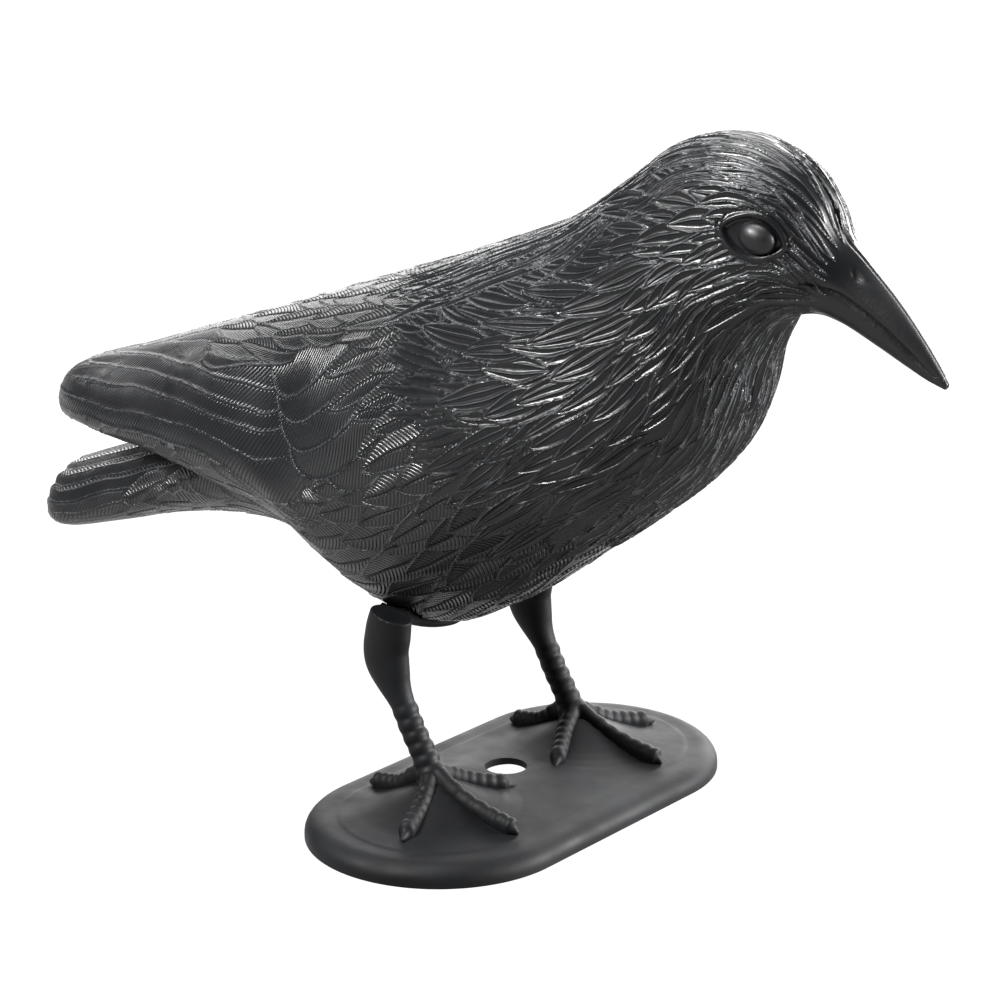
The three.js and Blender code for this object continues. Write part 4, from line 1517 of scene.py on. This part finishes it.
def leg_sizes(share, angle):
    """Half sizes of the leg's section, sideways and upwards."""
    share = share[:, None]
    thigh = 1 - smooth_step(share, knee_begin, knee_end + 0.02)
    ankle = smooth_step(share, shank_end - 0.14, 0.97)
    on_shank = smooth_step(share, knee_end - 0.04, knee_end + 0.04)
    on_shank = on_shank * (1 - smooth_step(share, shank_end, 0.96))
    turns = (share - knee_end) / (shank_end - knee_end) * scute_count
    front = scute_mean + scute_front * np.sin(angle)[None, :]
    ring = on_shank * scute_depth * scute_wave(turns) * front - scute_inset * on_shank
    top = 1 - top_less * (1 - smooth_step(share, 0, top_end))
    half_side = shank_radius + thigh_wider * thigh + ankle_wider * ankle + ring
    half_up = (shank_radius + thigh_taller * thigh) * top + ankle_taller * ankle + ring
    return half_side, half_up


legs_and_toes = {}
for sign in (1, -1):
    knots = [(sign * leg_spread, y, z) for y, z in leg_path]
    legs_and_toes[sign] = [tube_along("leg", knots, leg_sizes, leg_sides, leg_steps)]
print("legs:", len(legs_and_toes))

# %% [markdown]
# Three toes point forward and one back. Each starts inside the foot and bends down on to the
# plate. The claw is the last sixth of it, where the tube narrows at once and then runs to a point.

# %% Toes
toe_radius, toe_scutes, toe_scute_depth = 2.8, 6, 0.5
toe_sides, toe_steps = 32, 120
toe_wide, toe_taper, toe_tall = 1.1, 0.15, 1.3
toe_paths = {
    "hind": ((39, 9, 20), (38.8, 18, 12), (38.6, 27, 9.8), (38.6, 35, 9)),
    "middle": ((39.4, 3, 19.5), (40, -8, 13.6), (40.2, -20, 10.6), (40.4, -29, 9.4), (40.4, -33.5, 8.2)),
    "outer": ((42, 4, 18.5), (51, 0, 13), (61, -4, 10.4), (70.5, -8, 9)),
    "inner": ((37, 4, 19), (29, 1.5, 14.6), (20, -3.5, 11.6), (10.8, -8.6, 9.8)),
}
claw_from, claw_less = 0.84, 0.45


def toe_sizes(share, angle):
    """Half sizes of a toe's section, sideways and upwards."""
    share = share[:, None]
    narrows = smooth_step(share, claw_from - 0.02, claw_from + 0.03)
    claw = 1 - claw_less * narrows - claw_less * smooth_step(share, claw_from, 1.03)
    above = smooth_step(np.sin(angle)[None, :], -0.2, 0.5)
    on_toe = smooth_step(share, 0.12, 0.2)
    on_toe = on_toe * (1 - smooth_step(share, claw_from - 0.02, claw_from + 0.02))
    turns = share / claw_from * (toe_scutes + 1)
    scutes = on_toe * above * toe_scute_depth * scute_wave(turns)
    half = (toe_radius * (toe_wide - toe_taper * share) + scutes) * claw
    return half, toe_tall * half


for sign in (1, -1):
    for path in toe_paths.values():
        knots = [(sign * x, y, z) for x, y, z in path]
        legs_and_toes[sign].append(tube_along("toe", knots, toe_sizes, toe_sides, toe_steps))
print("toes on each foot:", len(toe_paths))

# %% [markdown]
# A strap below the belly joins the legs. Its section is a box with its lower corners taken off.
# Its underside rises towards the legs, and its ends swing forward to meet them.

# %% Saddle strap
saddle_low, saddle_rise, saddle_half, saddle_top = 57.6, 12, 35, 73
saddle_from, saddle_to, saddle_round, saddle_swing = 27, 39, 1.2, 6
saddle_points, saddle_curve, swing_curve = 61, 1.6, 3

across_saddle = np.linspace(-saddle_half, saddle_half, saddle_points)
underside = saddle_low + saddle_rise * np.abs(across_saddle / saddle_half) ** saddle_curve
saddle_rings = []
for x, low in zip(across_saddle, underside):
    corners = [
        (saddle_from + saddle_round, low), (saddle_to - saddle_round, low),
        (saddle_to, low + saddle_round), (saddle_to, saddle_top),
        (saddle_from, saddle_top), (saddle_from, low + saddle_round),
    ]
    forward = saddle_swing * abs(x / saddle_half) ** swing_curve
    saddle_rings.append([(x, y - forward, z) for y, z in corners])
saddle = tube_of_rings("saddle", np.array(saddle_rings), closed_ends=True)
print("saddle:", 2 * saddle_half, "mm across")

# %% [markdown]
# Legs, toes and strap are one moulding, so the tubes are melted together with a voxel remesh.
# Then the top is pressed down below the bird, which sits in its own print with a small gap, and
# what reaches into the plate stays inside the plate's thickness.

# %% Melt the legs together and seat the bird
legs_voxel, legs_softening = 0.55, 2
sit_gap, seat_from, look_from = 0.6, 52, 30
plate_reach, cover_below = 12, 1
belly = BVHTree.FromObject(
    bpy.data.objects["crow_rear_left"], bpy.context.evaluated_depsgraph_get(),
)

select_only(*legs_and_toes[1], *legs_and_toes[-1], saddle)
legs = bpy.context.object
bpy.ops.object.join()
legs.name = "stand_legs"
melt(legs, legs_voxel)
soften(legs, legs_softening)
leg_points = read_points(legs)
for number in np.flatnonzero(leg_points[:, 2] > seat_from):
    x, y, z = leg_points[number]
    start = Vector((abs(x), y + stand_middle[1], look_from)) * mm
    hit = belly.ray_cast(start, Vector((0, 0, 1)))[0]
    if hit is not None:
        leg_points[number, 2] = min(z, hit.z / mm - sit_gap)
in_plate = leg_points[:, 2] < plate_reach
lowest = plate_below(inset_at(leg_points[in_plate])) + cover_below
leg_points[in_plate, 2] = np.maximum(leg_points[in_plate, 2], lowest)
write_points(legs, leg_points)
print("legs, feet and saddle:", len(legs.data.polygons), "faces")

# %% [markdown]
# The stand is a duller, slightly bluish black. Its surface is cloudy, as moulded plastic is where
# it cooled unevenly, with a soft unevenness and a fine grain.

# %% Matte black plastic of the stand
stand_dark = (0.0016, 0.0017, 0.002)
stand_light = (0.0042, 0.0045, 0.0052)
uneven_height = 0.12
sharp_from = math.radians(50)

stand_black, tree, shader = new_material("matte_black_plastic", (0.017, 0.0178, 0.020), 0.5)
clouds = mapped(tree, noise(tree, scale=28, detail=4), (0.35, 0.65), (0, 1))
mix_shades(tree, shader, clouds, stand_dark, stand_light)
dullness = mapped(tree, noise(tree, scale=70, detail=5), (0.3, 0.7), (0.5, 0.66))
tree.links.new(dullness, shader.inputs["Roughness"])
shader.inputs["Specular IOR Level"].default_value = 0.12
uneven = math_node(tree, "MULTIPLY", noise(tree, scale=160, detail=3), uneven_height)
grain = noise(tree, scale=2400, detail=2)
grained = math_node(tree, "MULTIPLY_ADD", grain, grain_height, uneven)
add_bump(tree, shader, grained)
for piece in (plate, legs):
    select_only(piece)
    bpy.ops.object.shade_smooth_by_angle(angle=sharp_from)
    piece.data.materials.append(stand_black)
    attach(piece, "root")
    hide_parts("stand")
print("nodes of the stand's plastic:", len(tree.nodes))

# %% [markdown]
# The studio floor is a white sheet. Its light comes from the sheet itself and hardly from the
# lamps, because black plastic mirrors what is round it: a sheet that the lamps made brighter
# would fill the valleys between the feathers with grey.

# %% Floor
for thing in list(bpy.data.objects):
    if thing.name in ("Cube", "Light", "Camera"):
        bpy.data.objects.remove(thing)
bpy.ops.mesh.primitive_circle_add(vertices=64, radius=14, fill_type="NGON", location=(0, 0, 0))
floor = bpy.context.object
floor.name = "studio_floor"
paper, tree, shader = new_material("white_paper", (0.02, 0.02, 0.02), 0.9)
shader.inputs["Specular IOR Level"].default_value = 0.1
shader.inputs["Emission Color"].default_value = (1, 1, 1, 1)
shader.inputs["Emission Strength"].default_value = 1.0
floor.data.materials.append(paper)
floor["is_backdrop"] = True
print("floor:", round(floor.dimensions.x, 1), "m across")

# %% [markdown]
# A large soft light hangs overhead, and a broad one behind the bird is mirrored by its smooth
# parts. A small key light behind its right wing and a stronger second one before its breast put
# the highlights on the ridges, and a side panel opens the shadows on the left. Every light is
# turned towards the middle of the bird.

# %% Lights and size
lit_at = Vector((0, 0, 0.12))


def softbox(name, at, size, power):
    """A round soft light of this size in metres and power in watts."""
    light = bpy.data.lights.new(name, "AREA")
    light.shape = "DISK"
    light.size = size
    light.energy = power
    lamp = bpy.data.objects.new(name, light)
    lamp.location = at
    lamp.rotation_euler = (lit_at - Vector(at)).to_track_quat("-Z", "Y").to_euler()
    bpy.context.scene.collection.objects.link(lamp)


softbox("overhead softbox", (0.15, 0.25, 1.6), 1.0, 44)
softbox("backdrop", (1.7, 1.4, 0.95), 2.2, 62)
softbox("key light", (-0.96, 0.39, 1.16), 0.4, 70)
softbox("second light", (0.9, -1.16, 0.45), 0.8, 110)
softbox("side panel", (1.5, 0.1, 0.5), 1.0, 30)
world = bpy.data.worlds.new("studio")
world.use_nodes = True
world.node_tree.nodes["Background"].inputs["Color"].default_value = (1, 1, 1, 1)
world.node_tree.nodes["Background"].inputs["Strength"].default_value = 0.12
bpy.context.scene.world = world
bpy.context.scene.view_settings.view_transform = "Standard"
new_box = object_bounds()
sizes = {
    "cad": [list(corner) for corner in cad_box],
    "dressed": [list(corner) for corner in new_box],
}
print(sizes)
